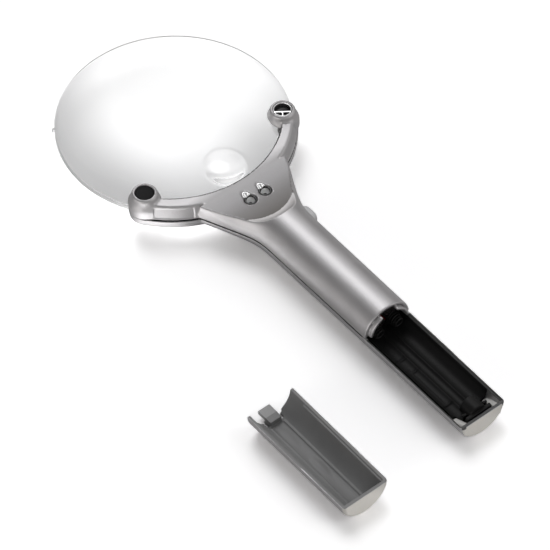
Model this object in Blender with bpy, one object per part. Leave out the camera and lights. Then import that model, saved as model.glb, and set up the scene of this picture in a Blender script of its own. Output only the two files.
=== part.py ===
"""Rimless hand magnifier with a clamshell fork head, lamps and a battery handle.

Lengths are in millimetres in this script and are turned into metres when a mesh is made.
Design axes: +X runs along the handle away from the lens, +Z is the side that faces up,
the lens centre is at X = Y = Z = 0. An empty then sets the whole part on Z = 0.
"""
import math

import bmesh
import bpy
from mathutils import Matrix, Vector

MM = 0.001
GAP = 0.3                      # clearance between pieces that touch

# Lens
LENS_RADIUS = 55.0
LENS_EDGE = 2.5                # thickness at the rim
LENS_SAG = 4.2                 # rise of each face at the centre
LENS_SEGMENTS = 60
SPOT_X = 36.5                  # centre of the small strong lens
SPOT_RADIUS = 11.0
SPOT_RISE = 2.2

# Housing: where the halves meet, and the handle's tapered tube
SPLIT_Z = -2.5                 # parting plane, also the height of the handle's axis
HANDLE_END_X = 217.3
HANDLE_END_RADIUS = 12.6
HANDLE_TAPER = 0.0042          # radius gained per millimetre towards the lens
BAY_X = 152.2                  # mouth of the battery bay
WALL = 1.9
BAY_WALL = 1.25

# Fork head
HEAD_TOP_Z = 5.0
HEAD_BOTTOM_Z = -8.2
FORK_INNER_RADIUS = 52.0       # arc of the fork's inner edge
FORK_INNER_X = -2.8            # its centre
FORK_OUTER_RADIUS = 57.3
ARM_ANGLE = 53.4               # lamp pots, from the handle's direction
POT_REACH = 50.2
POT_TOP_Z = 7.7
POT_TOP_RADIUS = 5.8
POT_FOOT_RADIUS = 7.2
POT_BORE = 4.5
POT_FLOOR_Z = 3.6
NECK_SLOPE = 0.449             # each side of the web narrows this much per millimetre
NECK_START = (50.0, 25.9)      # x and half width where the web leaves the arms

# Flat of the head, milled into the neck
FLAT_CENTRE_X = 54.5
FLAT_RADIUS = 19.9
FLAT_FILLET = 8.5

# Lamps on the flat
LED_X = 61.6
LED_Y = 4.25
LED_POCKET = 3.1
LED_SCOOP_TILT = 35.0

# Switch on the +Y flank of the neck
SWITCH_X = 80.5
SWITCH_LENGTH = 10.5
SWITCH_HEIGHT = 5.6
SWITCH_PROUD = 3.0

# Battery bay: two AAA cells side by side
CELL_RADIUS = 5.3
CELL_Y = 5.4
CELL_Z = -3.2
TRAY_RADIUS = 11.0
TRAY_START_X = 147.0           # under the mouth, so the springs are hidden
TRAY_END_X = 214.6

# Cover, made closed and then laid beside the handle
COVER_START_X = 152.7
COVER_END_X = 217.9
COVER_WALL = 1.6
COVER_OFFSET_Y = -67.3
TAB_WIDTH = 6.4

# Screws
ARM_SCREW_ANGLE = 40.0
ARM_SCREW_REACH = 51.8
ARM_BOSS = 1.8
WEB_SCREW = (68.0, 10.0)
HANDLE_SCREW_X = 118.0
BOSS = 2.4
SHANK = 0.8
SCREW_HEAD = (2.0, 1.3)        # radius and height

# Wires
WIRE_RADIUS = 0.4
ARM_WIRE_REACH = 54.3
ARM_WIRE_Z = 2.2

FLOOR_Z = SPLIT_Z - HANDLE_END_RADIUS - HANDLE_TAPER * (HANDLE_END_X - 84.0)
X_RANGE = (-LENS_RADIUS, COVER_END_X)


def handle_radius(x):
    return HANDLE_END_RADIUS + HANDLE_TAPER * (HANDLE_END_X - max(x, 84.0))


def half_width(x):
    """Half width of the neck at the parting plane: a straight taper that eases into the handle."""
    radius = handle_radius(x)
    line = NECK_START[1] - NECK_SLOPE * (x - NECK_START[0])
    ease = 1.2
    return radius + ease * math.log(1.0 + math.exp((line - radius) / ease))


def smoothstep(value, low, high):
    t = min(1.0, max(0.0, (value - low) / (high - low)))
    return t * t * (3.0 - 2.0 * t)


def lens_face(radius):
    """Height of the lens face above its middle plane."""
    return LENS_EDGE / 2 + LENS_SAG * (1.0 - (radius / LENS_RADIUS) ** 2)


def polar(radius, degrees, centre_x=0.0):
    angle = math.radians(degrees)
    return centre_x + radius * math.cos(angle), radius * math.sin(angle)


# ---------------------------------------------------------------- scene and materials
def clear_scene():
    for item in list(bpy.data.objects):
        bpy.data.objects.remove(item, do_unlink=True)


def make_material(name, colour, roughness, metallic=0.0, alpha=1.0):
    material = bpy.data.materials.new(name)
    material.use_nodes = True
    shader = material.node_tree.nodes["Principled BSDF"]
    shader.inputs["Base Color"].default_value = (*colour, 1.0)
    shader.inputs["Roughness"].default_value = roughness
    shader.inputs["Metallic"].default_value = metallic
    shader.inputs["Alpha"].default_value = alpha
    return material


# ---------------------------------------------------------------- mesh tools
def mesh_object(name, bm):
    """Turn a bmesh in millimetres into an object in metres."""
    bmesh.ops.recalc_face_normals(bm, faces=bm.faces)
    bmesh.ops.scale(bm, vec=(MM, MM, MM), verts=bm.verts)
    mesh = bpy.data.meshes.new(name)
    bm.to_mesh(mesh)
    bm.free()
    item = bpy.data.objects.new(name, mesh)
    bpy.context.collection.objects.link(item)
    return item


def loft(name, loops):
    """Closed solid through loops that all have the same number of points."""
    bm = bmesh.new()
    rings = [[bm.verts.new(point) for point in loop] for loop in loops]
    count = len(rings[0])
    for low, high in zip(rings, rings[1:]):
        for i in range(count):
            j = (i + 1) % count
            bm.faces.new((low[i], low[j], high[j], high[i]))
    bm.faces.new(list(reversed(rings[0])))
    bm.faces.new(rings[-1])
    return mesh_object(name, bm)


def turned(name, profile, segments=32, matrix=None):
    """Solid of revolution about Z from (radius, z) pairs that start and end at radius 0.

    A profile that stays off the axis is closed on itself, as a ring is.
    """
    bm = bmesh.new()
    if profile[0][0] > 0.0:
        profile = profile + profile[:1]
    rings = []
    for radius, z in profile:
        if radius == 0.0:
            rings.append([bm.verts.new((0.0, 0.0, z))])
            continue
        ring = []
        for i in range(segments):
            angle = 2.0 * math.pi * i / segments
            ring.append(bm.verts.new((radius * math.cos(angle), radius * math.sin(angle), z)))
        rings.append(ring)
    if len(rings[0]) > 1 and profile[0] == profile[-1]:
        bmesh.ops.delete(bm, geom=rings[-1], context="VERTS")
        rings[-1] = rings[0]
    for low, high in zip(rings, rings[1:]):
        for i in range(segments):
            j = (i + 1) % segments
            if len(low) == 1:
                bm.faces.new((low[0], high[j], high[i]))
            elif len(high) == 1:
                bm.faces.new((low[i], low[j], high[0]))
            else:
                bm.faces.new((low[i], low[j], high[j], high[i]))
    if matrix is not None:
        bmesh.ops.transform(bm, matrix=matrix, verts=bm.verts)
    return mesh_object(name, bm)


def cylinder(name, x, y, z0, z1, radius, segments=24):
    profile = [(0.0, z0), (radius, z0), (radius, z1), (0.0, z1)]
    return turned(name, profile, segments, Matrix.Translation((x, y, 0.0)))


def box(name, low, high):
    bm = bmesh.new()
    bmesh.ops.create_cube(bm, size=1.0)
    for vert in bm.verts:
        for axis in range(3):
            vert.co[axis] = low[axis] if vert.co[axis] < 0 else high[axis]
    return mesh_object(name, bm)


def weld(item, distance=0.004):
    """Merge the slivers that a cut leaves and keep every face flat."""
    bm = bmesh.new()
    bm.from_mesh(item.data)
    bmesh.ops.remove_doubles(bm, verts=bm.verts, dist=distance * MM)
    bmesh.ops.dissolve_degenerate(bm, edges=bm.edges, dist=distance * MM)
    bmesh.ops.triangulate(bm, faces=bm.faces)
    bm.to_mesh(item.data)
    bm.free()
    return item


def boolean(target, tool, operation):
    """Combine two solids and drop the tool."""
    modifier = target.modifiers.new("combine", "BOOLEAN")
    modifier.operation = operation
    modifier.object = tool
    modifier.solver = "EXACT"
    bpy.context.view_layer.update()
    graph = bpy.context.evaluated_depsgraph_get()
    mesh = bpy.data.meshes.new_from_object(target.evaluated_get(graph))
    target.modifiers.clear()
    target.data = mesh
    bpy.data.objects.remove(tool, do_unlink=True)
    return weld(target)


def join(target, *tools):
    for tool in tools:
        boolean(target, tool, "UNION")
    return target


def cut(target, *tools):
    for tool in tools:
        boolean(target, tool, "DIFFERENCE")
    return target


def flatten(item, degrees=0.4):
    """Join flat neighbouring faces again after the cuts."""
    bm = bmesh.new()
    bm.from_mesh(item.data)
    angle = math.radians(degrees)
    bmesh.ops.dissolve_limit(bm, angle_limit=angle, verts=bm.verts, edges=bm.edges)
    bmesh.ops.triangulate(bm, faces=bm.faces)
    bm.to_mesh(item.data)
    bm.free()
    return item


def finish(item, name, material, parent, sharp_degrees=35.0):
    flatten(item)
    item.name = name
    item.data.name = name
    item.data.materials.clear()
    item.data.materials.append(material)
    item.data.shade_smooth()
    item.data.set_sharp_from_angle(angle=math.radians(sharp_degrees))
    item.parent = parent
    return item


# ---------------------------------------------------------------- sections of the housing
def half_section(x, width, height, exponent, upper, points=18):
    """Half of a superellipse across the handle, closed along the parting plane."""
    base = SPLIT_Z + (GAP / 2 if upper else -GAP / 2)
    side = 1.0 if upper else -1.0
    loop = []
    for i in range(points + 1):
        angle = math.pi * i / points
        c = math.cos(angle)
        s = math.sin(angle)
        y = math.copysign(abs(c) ** (2.0 / exponent), c) * width
        z = abs(s) ** (2.0 / exponent) * height
        loop.append((x, y, base + side * max(z, 0.0)))
    return loop


def upper_body():
    """Neck and upper half of the handle, up to the mouth of the battery bay."""
    stations = (50.5, 54, 57, 60, 63, 66, 69, 72, 75, 78, 81, 84, 88, 120, BAY_X)
    loops = []
    for x in stations:
        exponent = 2.0 + 2.0 * smoothstep(70.0 - x, 0.0, 18.0)
        height = handle_radius(x) - GAP / 2
        loops.append(half_section(x, half_width(x), height, exponent, True))
    return loft("upper_body", loops)


def lower_body():
    """Neck and lower half of the handle, with a rounded closed end."""
    stations = (50.5, 54, 57, 60, 63, 66, 69, 72, 75, 78, 81, 84, 88, 120, BAY_X, 215.6)
    loops = []
    for x in stations:
        exponent = 2.0 + 2.0 * smoothstep(80.0 - x, 0.0, 28.0)
        full = handle_radius(x) - GAP / 2
        depth = SPLIT_Z - GAP / 2 - HEAD_BOTTOM_Z
        height = depth + (full - depth) * smoothstep(x, 58.0, 87.0)
        loops.append(half_section(x, half_width(x), height, exponent, False))
    for inset, shrink in ((0.55, 0.35), (0.0, 1.3)):
        x = HANDLE_END_X - inset
        radius = handle_radius(x) - shrink
        loops.append(half_section(x, radius, radius - GAP / 2, 2.0, False))
    return loft("lower_body", loops)


def fork_outline(outer_radius, inner_grow, z):
    """Plan of the fork: an arc outside, a flatter arc inside, straight across at the pots."""
    steps = 26
    loop = []
    for i in range(steps + 1):
        angle = -ARM_ANGLE + 2.0 * ARM_ANGLE * i / steps
        loop.append((*polar(outer_radius, angle), z))
    inner_angle = ARM_ANGLE - 2.5
    for i in range(steps + 1):
        angle = inner_angle - 2.0 * inner_angle * i / steps
        loop.append((*polar(FORK_INNER_RADIUS + inner_grow, angle, FORK_INNER_X), z))
    return loop


def pot_centre(side):
    x, y = polar(POT_REACH, ARM_ANGLE)
    return x, side * y


def flat_cutter():
    """Mills the flat of the head; its back edge is round and sweeps up to the handle."""
    start = math.radians(12.0)
    profile = [(0.0, HEAD_TOP_Z), (FLAT_RADIUS, HEAD_TOP_Z)]
    for i in range(1, 8):
        angle = start + math.radians(9.5) * i
        radius = FLAT_RADIUS + FLAT_FILLET * (math.sin(angle) - math.sin(start))
        height = HEAD_TOP_Z + FLAT_FILLET * (math.cos(start) - math.cos(angle))
        profile.append((radius, height))
    profile.append((profile[-1][0] + 1.0, 16.0))
    profile.append((0.0, 16.0))
    disc = turned("flat_disc", profile, 64, Matrix.Translation((FLAT_CENTRE_X, 0.0, 0.0)))
    front = box("flat_front", (20.0, -40.0, HEAD_TOP_Z), (60.0, 40.0, 16.0))
    return join(disc, front)


def lens_cutter(side):
    """Room for the lens rim, from the parting plane past the upper or the lower lens face."""
    start = (SPLIT_Z - 1.0) if side > 0 else 1.0
    profile = [(0.0, start), (LENS_RADIUS + GAP, start)]
    profile.append((LENS_RADIUS + GAP, side * (LENS_EDGE / 2 + GAP)))
    for radius in (50.0, 40.0):
        profile.append((radius, side * (lens_face(radius) + GAP)))
    profile.append((0.0, side * (lens_face(40.0) + GAP)))
    return turned("lens_cutter", profile, LENS_SEGMENTS)


def cavity():
    """Hollow of the neck and handle, cut from both halves."""
    rows = (
        (57.5, 14.0, 5.4, 3.6, 4.0),
        (68.0, 13.2, 5.4, 4.4, 4.0),
        (74.0, 12.6, 5.5, 6.0, 3.4),
        (78.0, 11.8, 7.0, 7.6, 2.8),
        (82.0, 11.2, 9.6, 9.4, 2.2),
        (86.0, 11.2, 11.2, 10.8, 2.0),
        (BAY_X - 4.0, 11.0, 11.0, 11.0, 2.0),
        (BAY_X + 6.0, 11.0, 11.0, 11.0, 2.0),
    )
    points = 32
    loops = []
    for x, width, up, down, exponent in rows:
        loop = []
        for i in range(points):
            angle = 2.0 * math.pi * i / points
            c = math.cos(angle)
            s = math.sin(angle)
            y = math.copysign(abs(c) ** (2.0 / exponent), c) * width
            z = math.copysign(abs(s) ** (2.0 / exponent), s) * (up if s > 0 else down)
            loop.append((x, y, SPLIT_Z + z))
        loops.append(loop)
    return loft("cavity", loops)


def handle_turn(x=0.0, y=0.0, z=SPLIT_Z):
    """Puts a turned solid's Z axis along the handle."""
    return Matrix.Translation((x, y, z)) @ Matrix.Rotation(math.radians(90.0), 4, "Y")


def handle_rod(name, x0, x1, radius, y=0.0, z=SPLIT_Z, segments=48):
    """Cylinder along the handle."""
    profile = [(0.0, x0), (radius, x0), (radius, x1), (0.0, x1)]
    return turned(name, profile, segments, handle_turn(y=y, z=z))


def switch_pill(name, y0, y1, grow):
    """Stadium bar across the +Y flank, the shape of the button and of its window."""
    half = SWITCH_HEIGHT / 2 + grow
    straight = (SWITCH_LENGTH - SWITCH_HEIGHT) / 2
    steps = 8
    outline = []
    for end in (1.0, -1.0):
        for i in range(steps + 1):
            angle = math.radians(-90.0 + 180.0 * i / steps)
            x = SWITCH_X + end * (straight + half * math.cos(angle))
            outline.append((x, SPLIT_Z + end * half * math.sin(angle)))
    return loft(name, [[(x, y, z) for x, z in outline] for y in (y0, y1)])


def ring_sector(name, inner, outer, first, last, z0, z1, side=1.0, steps=12):
    """Flat bar bent about the lens axis between two angles."""
    outline = []
    for i in range(steps + 1):
        outline.append(polar(outer, first + (last - first) * i / steps))
    for i in range(steps + 1):
        outline.append(polar(inner, last + (first - last) * i / steps))
    return loft(name, [[(x, side * y, z) for x, y in outline] for z in (z0, z1)])


def smooth_route(points, per_span=6):
    """Catmull-Rom curve through hand-set points."""
    nodes = [Vector(p) for p in points]
    nodes = [2 * nodes[0] - nodes[1]] + nodes + [2 * nodes[-1] - nodes[-2]]
    route = []
    for a, b, c, d in zip(nodes, nodes[1:], nodes[2:], nodes[3:]):
        for i in range(per_span):
            t = i / per_span
            step = 0.5 * ((c - a) * t + (2 * a - 5 * b + 4 * c - d) * t * t
                          + (3 * b - a - 3 * c + d) * t ** 3)
            route.append(b + step)
    route.append(nodes[-2])
    return route


def tube(name, route, radius, resolution=2):
    """Round wire along a list of points, as a mesh."""
    curve = bpy.data.curves.new(name, "CURVE")
    curve.dimensions = "3D"
    curve.bevel_depth = radius * MM
    curve.bevel_resolution = resolution
    curve.use_fill_caps = True
    spline = curve.splines.new("POLY")
    spline.points.add(len(route) - 1)
    for point, place in zip(spline.points, route):
        point.co = (place[0] * MM, place[1] * MM, place[2] * MM, 1.0)
    item = bpy.data.objects.new(name, curve)
    bpy.context.collection.objects.link(item)
    bpy.context.view_layer.update()
    graph = bpy.context.evaluated_depsgraph_get()
    mesh = bpy.data.meshes.new_from_object(item.evaluated_get(graph))
    bpy.data.objects.remove(item, do_unlink=True)
    bm = bmesh.new()
    bm.from_mesh(mesh)
    bmesh.ops.remove_doubles(bm, verts=bm.verts, dist=0.00001)
    bmesh.ops.recalc_face_normals(bm, faces=bm.faces)
    bm.to_mesh(mesh)
    bm.free()
    result = bpy.data.objects.new(name, mesh)
    bpy.context.collection.objects.link(result)
    return result


# ---------------------------------------------------------------- screws
def screw_places():
    """Name, x, y, height of the head's seat, of the tip and of the boss's root, boss radius."""
    x, y = polar(ARM_SCREW_REACH, ARM_SCREW_ANGLE)
    rows = []
    for side, word in ((1.0, "right"), (-1.0, "left")):
        rows.append(("arm_screw_" + word, x, side * y, -6.6, 3.0, 4.0, ARM_BOSS))
        rows.append(("web_screw_" + word, WEB_SCREW[0], side * WEB_SCREW[1], -7.9, 2.0, 3.6, BOSS))
    rows.append(("handle_screw", HANDLE_SCREW_X, 0.0, -13.7, 3.0, 9.4, BOSS))
    return rows


def make_screw(name, x, y, seat, tip):
    head_radius, head_height = SCREW_HEAD
    top = seat - GAP
    profile = [(0.0, top - head_height), (head_radius - 0.4, top - head_height),
               (head_radius, top - head_height + 0.5), (head_radius, top), (SHANK, top),
               (SHANK, tip - 0.5), (0.0, tip)]
    screw = turned(name, profile, 14, Matrix.Translation((x, y, 0.0)))
    for angle in (0.0, 90.0):
        slot = box("slot", (-1.1, -0.25, top - head_height - 0.5), (1.1, 0.25, top - head_height + 0.6))
        slot.data.transform(Matrix.Rotation(math.radians(angle), 4, "Z"))
        slot.data.transform(Matrix.Translation((x * MM, y * MM, 0.0)))
        screw = cut(screw, slot)
    return screw


# ---------------------------------------------------------------- pieces
def make_back_shell():
    body = cut(upper_body(), flat_cutter())
    top = SPLIT_Z + GAP / 2
    fork = loft("fork", [
        fork_outline(FORK_OUTER_RADIUS, 0.0, top),
        fork_outline(FORK_OUTER_RADIUS - 2.1, 0.0, HEAD_TOP_Z - 0.5),
        fork_outline(FORK_OUTER_RADIUS - 2.6, 0.4, HEAD_TOP_Z - 0.003),
    ])
    body = join(body, fork)
    for side in (1.0, -1.0):
        x, y = pot_centre(side)
        profile = [(0.0, top), (POT_FOOT_RADIUS, top), (POT_FOOT_RADIUS, 0.0),
                   (POT_TOP_RADIUS + 0.35, POT_TOP_Z - 0.9), (POT_TOP_RADIUS, POT_TOP_Z - 0.3),
                   (POT_TOP_RADIUS - 0.4, POT_TOP_Z), (0.0, POT_TOP_Z)]
        body = join(body, turned("pot", profile, 28, Matrix.Translation((x, y, 0.0))))
    body = cut(body, lens_cutter(1.0))
    body = cut(body, cavity())
    for side in (1.0, -1.0):
        body = cut_lamp_hollows(body, side)
    for name, x, y, seat, tip, root, radius in screw_places():
        body = join(body, cylinder("boss", x, y, top, root, radius, 14))
        body = cut(body, cylinder("bore", x, y, top - 1.0, tip + 0.3, SHANK + GAP, 12))
    body = cut(body, switch_pill("switch_window", 9.0, 25.0, GAP))
    return join(body, make_lip())


def cut_lamp_hollows(body, side):
    """Bore, wire run and lamp pocket of one side of the head."""
    x, y = pot_centre(side)
    body = cut(body, cylinder("pot_bore", x, y, POT_FLOOR_Z, POT_TOP_Z + 1.0, POT_BORE, 28))
    low = ARM_WIRE_REACH - 0.6
    high = ARM_WIRE_REACH + 0.6
    run = ring_sector("wire_run", low, high, 13.0, ARM_ANGLE, -4.0, ARM_WIRE_Z + 0.8, side)
    feed = box("wire_feed", (51.0, 11.3, -4.0), (61.0, 14.6, ARM_WIRE_Z + 0.8))
    feed.data.transform(Matrix.Diagonal((1.0, side, 1.0, 1.0)))
    if side < 0:
        feed.data.flip_normals()
    hole_x, hole_y = polar(ARM_WIRE_REACH, ARM_ANGLE - 1.2)
    riser = cylinder("wire_riser", hole_x, side * hole_y, 0.0, POT_FLOOR_Z + 1.0, 0.7, 12)
    pocket = cylinder("led_pocket", LED_X, side * LED_Y, 1.0, 8.0, LED_POCKET, 24)
    tilt = Matrix.Translation((LED_X, side * LED_Y, 3.2))
    tilt = tilt @ Matrix.Rotation(math.radians(LED_SCOOP_TILT - 90.0), 4, "Y")
    scoop = turned("scoop", [(0.0, 0.0), (2.0, 0.0), (2.0, 12.0), (0.0, 12.0)], 20, tilt)
    return cut(body, run, feed, riser, pocket, scoop)


def make_lip():
    """Step inside the bay's mouth that the cover slides over, open at the crown for its tab."""
    inner = 9.7
    outer = handle_radius(BAY_X) - WALL
    profile = [(inner, BAY_X - 3.0), (outer + 0.6, BAY_X - 3.0), (outer + 0.6, BAY_X - 0.4),
               (outer, BAY_X - 0.4), (outer, BAY_X + 2.2), (inner, BAY_X + 2.2)]
    lip = turned("lip", profile, 48, handle_turn())
    under = box("under", (BAY_X - 6.0, -20.0, -20.0), (BAY_X + 4.0, 20.0, SPLIT_Z + 0.8))
    gap = box("crown", (BAY_X - 6.0, -TAB_WIDTH / 2 - 0.8, 0.0), (BAY_X + 4.0, TAB_WIDTH / 2 + 0.8, 20.0))
    return cut(lip, under, gap)


def make_front_shell():
    body = lower_body()
    top = SPLIT_Z - GAP / 2
    fork = loft("fork", [
        fork_outline(FORK_OUTER_RADIUS - 1.9, 1.6, HEAD_BOTTOM_Z + 0.003),
        fork_outline(FORK_OUTER_RADIUS - 0.4, 0.5, HEAD_BOTTOM_Z + 1.0),
        fork_outline(FORK_OUTER_RADIUS + 0.4, 0.0, HEAD_BOTTOM_Z + 2.8),
        fork_outline(FORK_OUTER_RADIUS + 0.1, 0.0, top),
    ])
    body = join(body, fork)
    for side in (1.0, -1.0):
        x, y = pot_centre(side)
        profile = [(0.0, HEAD_BOTTOM_Z), (POT_FOOT_RADIUS - 1.9, HEAD_BOTTOM_Z),
                   (POT_FOOT_RADIUS - 0.5, HEAD_BOTTOM_Z + 1.0),
                   (POT_FOOT_RADIUS + 0.1, HEAD_BOTTOM_Z + 2.8), (POT_FOOT_RADIUS, top), (0.0, top)]
        body = join(body, turned("pot_foot", profile, 28, Matrix.Translation((x, y, 0.0))))
    body = cut(body, lens_cutter(-1.0))
    body = cut(body, cavity())
    bay_radius = HANDLE_END_RADIUS - BAY_WALL
    body = cut(body, handle_rod("bay", TRAY_START_X - 0.8, HANDLE_END_X - 2.0, bay_radius))
    seat_high = LENS_RADIUS - 0.1
    ledge = ring_sector("ledge", seat_high - 1.2, seat_high, -50.0, 50.0, top - 1.0, -1.7, 1.0, 24)
    body = join(body, ledge)
    for side in (1.0, -1.0):
        gusset = box("gusset", (207.5, 7.4, -8.4), (HANDLE_END_X - 1.0, 10.3, top - 0.7))
        gusset.data.transform(Matrix.Diagonal((1.0, side, 1.0, 1.0)))
        if side < 0:
            gusset.data.flip_normals()
        body = join(body, gusset)
    for name, x, y, seat, tip, root, radius in screw_places():
        post = cylinder("post", x, y, seat - 1.0, top, radius, 14)
        body = join(body, post)
        body = cut(body, cylinder("sink", x, y, -20.0, seat, SCREW_HEAD[0] + GAP, 16))
        body = cut(body, cylinder("bore", x, y, -20.0, top + 1.0, SHANK + GAP, 12))
    return cut(body, switch_pill("switch_window", 9.0, 25.0, GAP))


def make_lens():
    profile = [(0.0, -lens_face(0.0))]
    rings = (18.0, 34.0, 46.0)
    for radius in rings:
        profile.append((radius, -lens_face(radius)))
    profile.append((LENS_RADIUS - 0.4, -LENS_EDGE / 2))
    profile.append((LENS_RADIUS, -LENS_EDGE / 2 + 0.4))
    profile.append((LENS_RADIUS, LENS_EDGE / 2 - 0.4))
    profile.append((LENS_RADIUS - 0.4, LENS_EDGE / 2))
    for radius in reversed(rings):
        profile.append((radius, lens_face(radius)))
    profile.append((0.0, lens_face(0.0)))
    lens = turned("lens", profile, LENS_SEGMENTS)
    peak = lens_face(SPOT_X) + SPOT_RISE
    dome = []
    base = peak - SPOT_RISE - 1.6
    for i in range(7):
        radius = SPOT_RADIUS * math.cos(math.pi / 2 * i / 6)
        dome.append((radius if i < 6 else 0.0, base + (peak - base) * math.sin(math.pi / 2 * i / 6)))
    dome = [(0.0, base)] + dome
    lens = join(lens, turned("spot", dome, 28, Matrix.Translation((SPOT_X, 0.0, 0.0))))
    x, y = polar(LENS_RADIUS + 0.2, -125.0)
    lens = join(lens, cylinder("gate_nub", x, y, -0.8, 0.8, 1.2, 12))
    for side in (1.0, -1.0):
        x, y = polar(ARM_SCREW_REACH, ARM_SCREW_ANGLE)
        lens = cut(lens, cylinder("post_hole", x, side * y, -5.0, 5.0, ARM_BOSS + GAP, 16))
    return lens


def make_cover():
    """Half tube made in its closed place on top of the bay."""
    outer = handle_radius(COVER_START_X)
    end = HANDLE_END_RADIUS
    profile = [(0.0, COVER_START_X), (outer, COVER_START_X), (end, COVER_END_X - 1.6),
               (end - 0.35, COVER_END_X - 0.6), (end - 1.3, COVER_END_X), (0.0, COVER_END_X)]
    cover = turned("cover", profile, 48, handle_turn())
    room = handle_rod("room", COVER_START_X - 2.0, COVER_END_X - 1.8, outer - COVER_WALL)
    cover = cut(cover, room, box("lower", (140.0, -20.0, -30.0), (230.0, 20.0, SPLIT_Z + GAP / 2)))
    for side in (1.0, -1.0):
        low_y, high_y = sorted((side * 10.1, side * 11.6))
        rib = box("rib", (162.0, low_y, SPLIT_Z + 1.1), (COVER_END_X - 1.0, high_y, SPLIT_Z + 2.1))
        low_y, high_y = sorted((side * 3.2, side * 4.0))
        rail = box("rail", (158.0, low_y, 7.0), (COVER_END_X - 1.0, high_y, 9.2))
        cover = join(cover, rib, rail)
    half = TAB_WIDTH / 2
    root = box("tab_root", (COVER_START_X + 0.2, -half, 5.7), (157.0, half, 9.4))
    tab = box("tab", (COVER_START_X - 4.6, -half, 5.7), (COVER_START_X + 1.0, half, 7.9))
    cover = join(cover, root, tab)
    for side in (1.0, -1.0):
        low_y, high_y = sorted((side * (half + 0.3), side * (half + 1.5)))
        cover = cut(cover, box("slot", (COVER_START_X - 1.0, low_y, 4.0), (156.4, high_y, 12.0)))
    return cover


def make_tray():
    top = SPLIT_Z - 0.5
    tray = handle_rod("tray", TRAY_START_X, TRAY_END_X, TRAY_RADIUS)
    tray = cut(tray, box("above", (100.0, -20.0, top), (240.0, 20.0, 30.0)))
    for side in (1.0, -1.0):
        trough = handle_rod("trough", TRAY_START_X + 1.4, TRAY_END_X - 1.8, CELL_RADIUS,
                            side * CELL_Y, CELL_Z, 40)
        tray = cut(tray, trough)
        low_y, high_y = sorted((side * 6.9, side * 12.0))
        tray = cut(tray, box("corner", (207.0, low_y, -16.0), (220.0, high_y, top + 1.0)))
    block = handle_rod("block", 206.2, TRAY_END_X - 1.2, 4.6, 0.0, -5.0, 32)
    return join(tray, cut(block, box("block_trim", (200.0, -8.0, -20.0), (220.0, 8.0, -7.0))))


def make_spring(side):
    turns = 4.5
    length = 5.2
    steps = int(turns * 10)
    route = []
    for i in range(steps + 1):
        t = i / steps
        angle = 2.0 * math.pi * turns * t
        radius = 3.6 - 1.4 * t
        x = TRAY_START_X + 2.1 + length * t
        route.append((x, side * CELL_Y + radius * math.cos(angle), CELL_Z + radius * math.sin(angle)))
    return tube("spring", route, 0.3, 1)


def make_tail_contact(side):
    low_y, high_y = sorted((side * 4.9, side * 6.8))
    plate = box("plate", (211.0, low_y, -7.6), (211.5, high_y, -3.4))
    foot = box("foot", (209.6, low_y, -7.6), (211.5, high_y, -7.2))
    return join(plate, foot)


def make_led(side):
    profile = [(0.0, -1.5), (1.9, -1.5), (1.9, 3.6), (1.75, 4.3), (1.3, 4.95), (0.7, 5.3), (0.0, 5.4)]
    return turned("led", profile, 16, Matrix.Translation((LED_X, side * LED_Y, 0.0)))


def make_bezel(side):
    outer = LED_POCKET - GAP
    profile = [(2.2, 1.2), (outer, 1.2), (outer, 4.9), (outer - 0.3, 5.1), (2.2, 4.6)]
    return turned("bezel", profile, 18, Matrix.Translation((LED_X, side * LED_Y, 0.0)))


def make_pot_lamp(side, radius, height):
    x, y = pot_centre(side)
    low = POT_FLOOR_Z + GAP
    profile = [(0.0, low), (radius, low)]
    for i in range(6):
        angle = math.pi / 2 * i / 5
        reach = radius * math.cos(angle) if i < 5 else 0.0
        profile.append((reach, low + height * (0.35 + 0.65 * math.sin(angle))))
    return turned("lamp", profile, 20, Matrix.Translation((x, y, 0.0)))


def make_pot_window():
    x, y = pot_centre(-1.0)
    radius = POT_BORE - GAP
    profile = [(0.0, POT_TOP_Z - 1.1), (radius, POT_TOP_Z - 1.1), (radius, POT_TOP_Z - 0.5),
               (radius - 0.3, POT_TOP_Z - 0.3), (0.0, POT_TOP_Z - 0.3)]
    return turned("window", profile, 24, Matrix.Translation((x, y, 0.0)))


def make_retainer():
    """T shaped clip over the right lamp: a bar across the bore and a leg towards the arm."""
    x, y = pot_centre(1.0)
    low = POT_TOP_Z - 1.0
    high = POT_TOP_Z - 0.3
    reach = POT_BORE - GAP
    disc = cylinder("clip", 0.0, 0.0, low, high, reach, 32)
    bar = box("bar", (-reach, -1.9, low), (reach, -1.0, high))
    leg = box("leg", (-0.45, -reach, low), (0.45, -1.2, high))
    clip = boolean(join(bar, leg), disc, "INTERSECT")
    turn = Matrix.Rotation(math.radians(ARM_ANGLE), 4, "Z")
    clip.data.transform(Matrix.Translation((x * MM, y * MM, 0.0)) @ turn)
    return clip


def make_board():
    return box("board", (62.8, -7.0, -5.6), (85.0, 7.0, -4.6))


def make_resistor(side):
    turn = Matrix.Translation((73.0, side * 3.4, -3.4)) @ Matrix.Rotation(math.radians(90.0), 4, "Y")
    profile = [(0.0, -3.0), (0.8, -3.0), (0.9, -2.4), (0.7, -1.8), (0.7, 1.8), (0.9, 2.4), (0.8, 3.0), (0.0, 3.0)]
    return turned("resistor", profile, 10, turn)


def make_switch_body():
    case = box("case", (SWITCH_X - 3.0, 3.2, -4.3), (SWITCH_X + 3.0, 7.2, -0.9))
    turn = Matrix.Translation((SWITCH_X, 0.0, SPLIT_Z)) @ Matrix.Rotation(math.radians(-90.0), 4, "X")
    stem = turned("stem", [(0.0, 6.8), (1.2, 6.8), (1.2, 8.1), (0.0, 8.1)], 16, turn)
    return join(case, stem)


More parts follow.
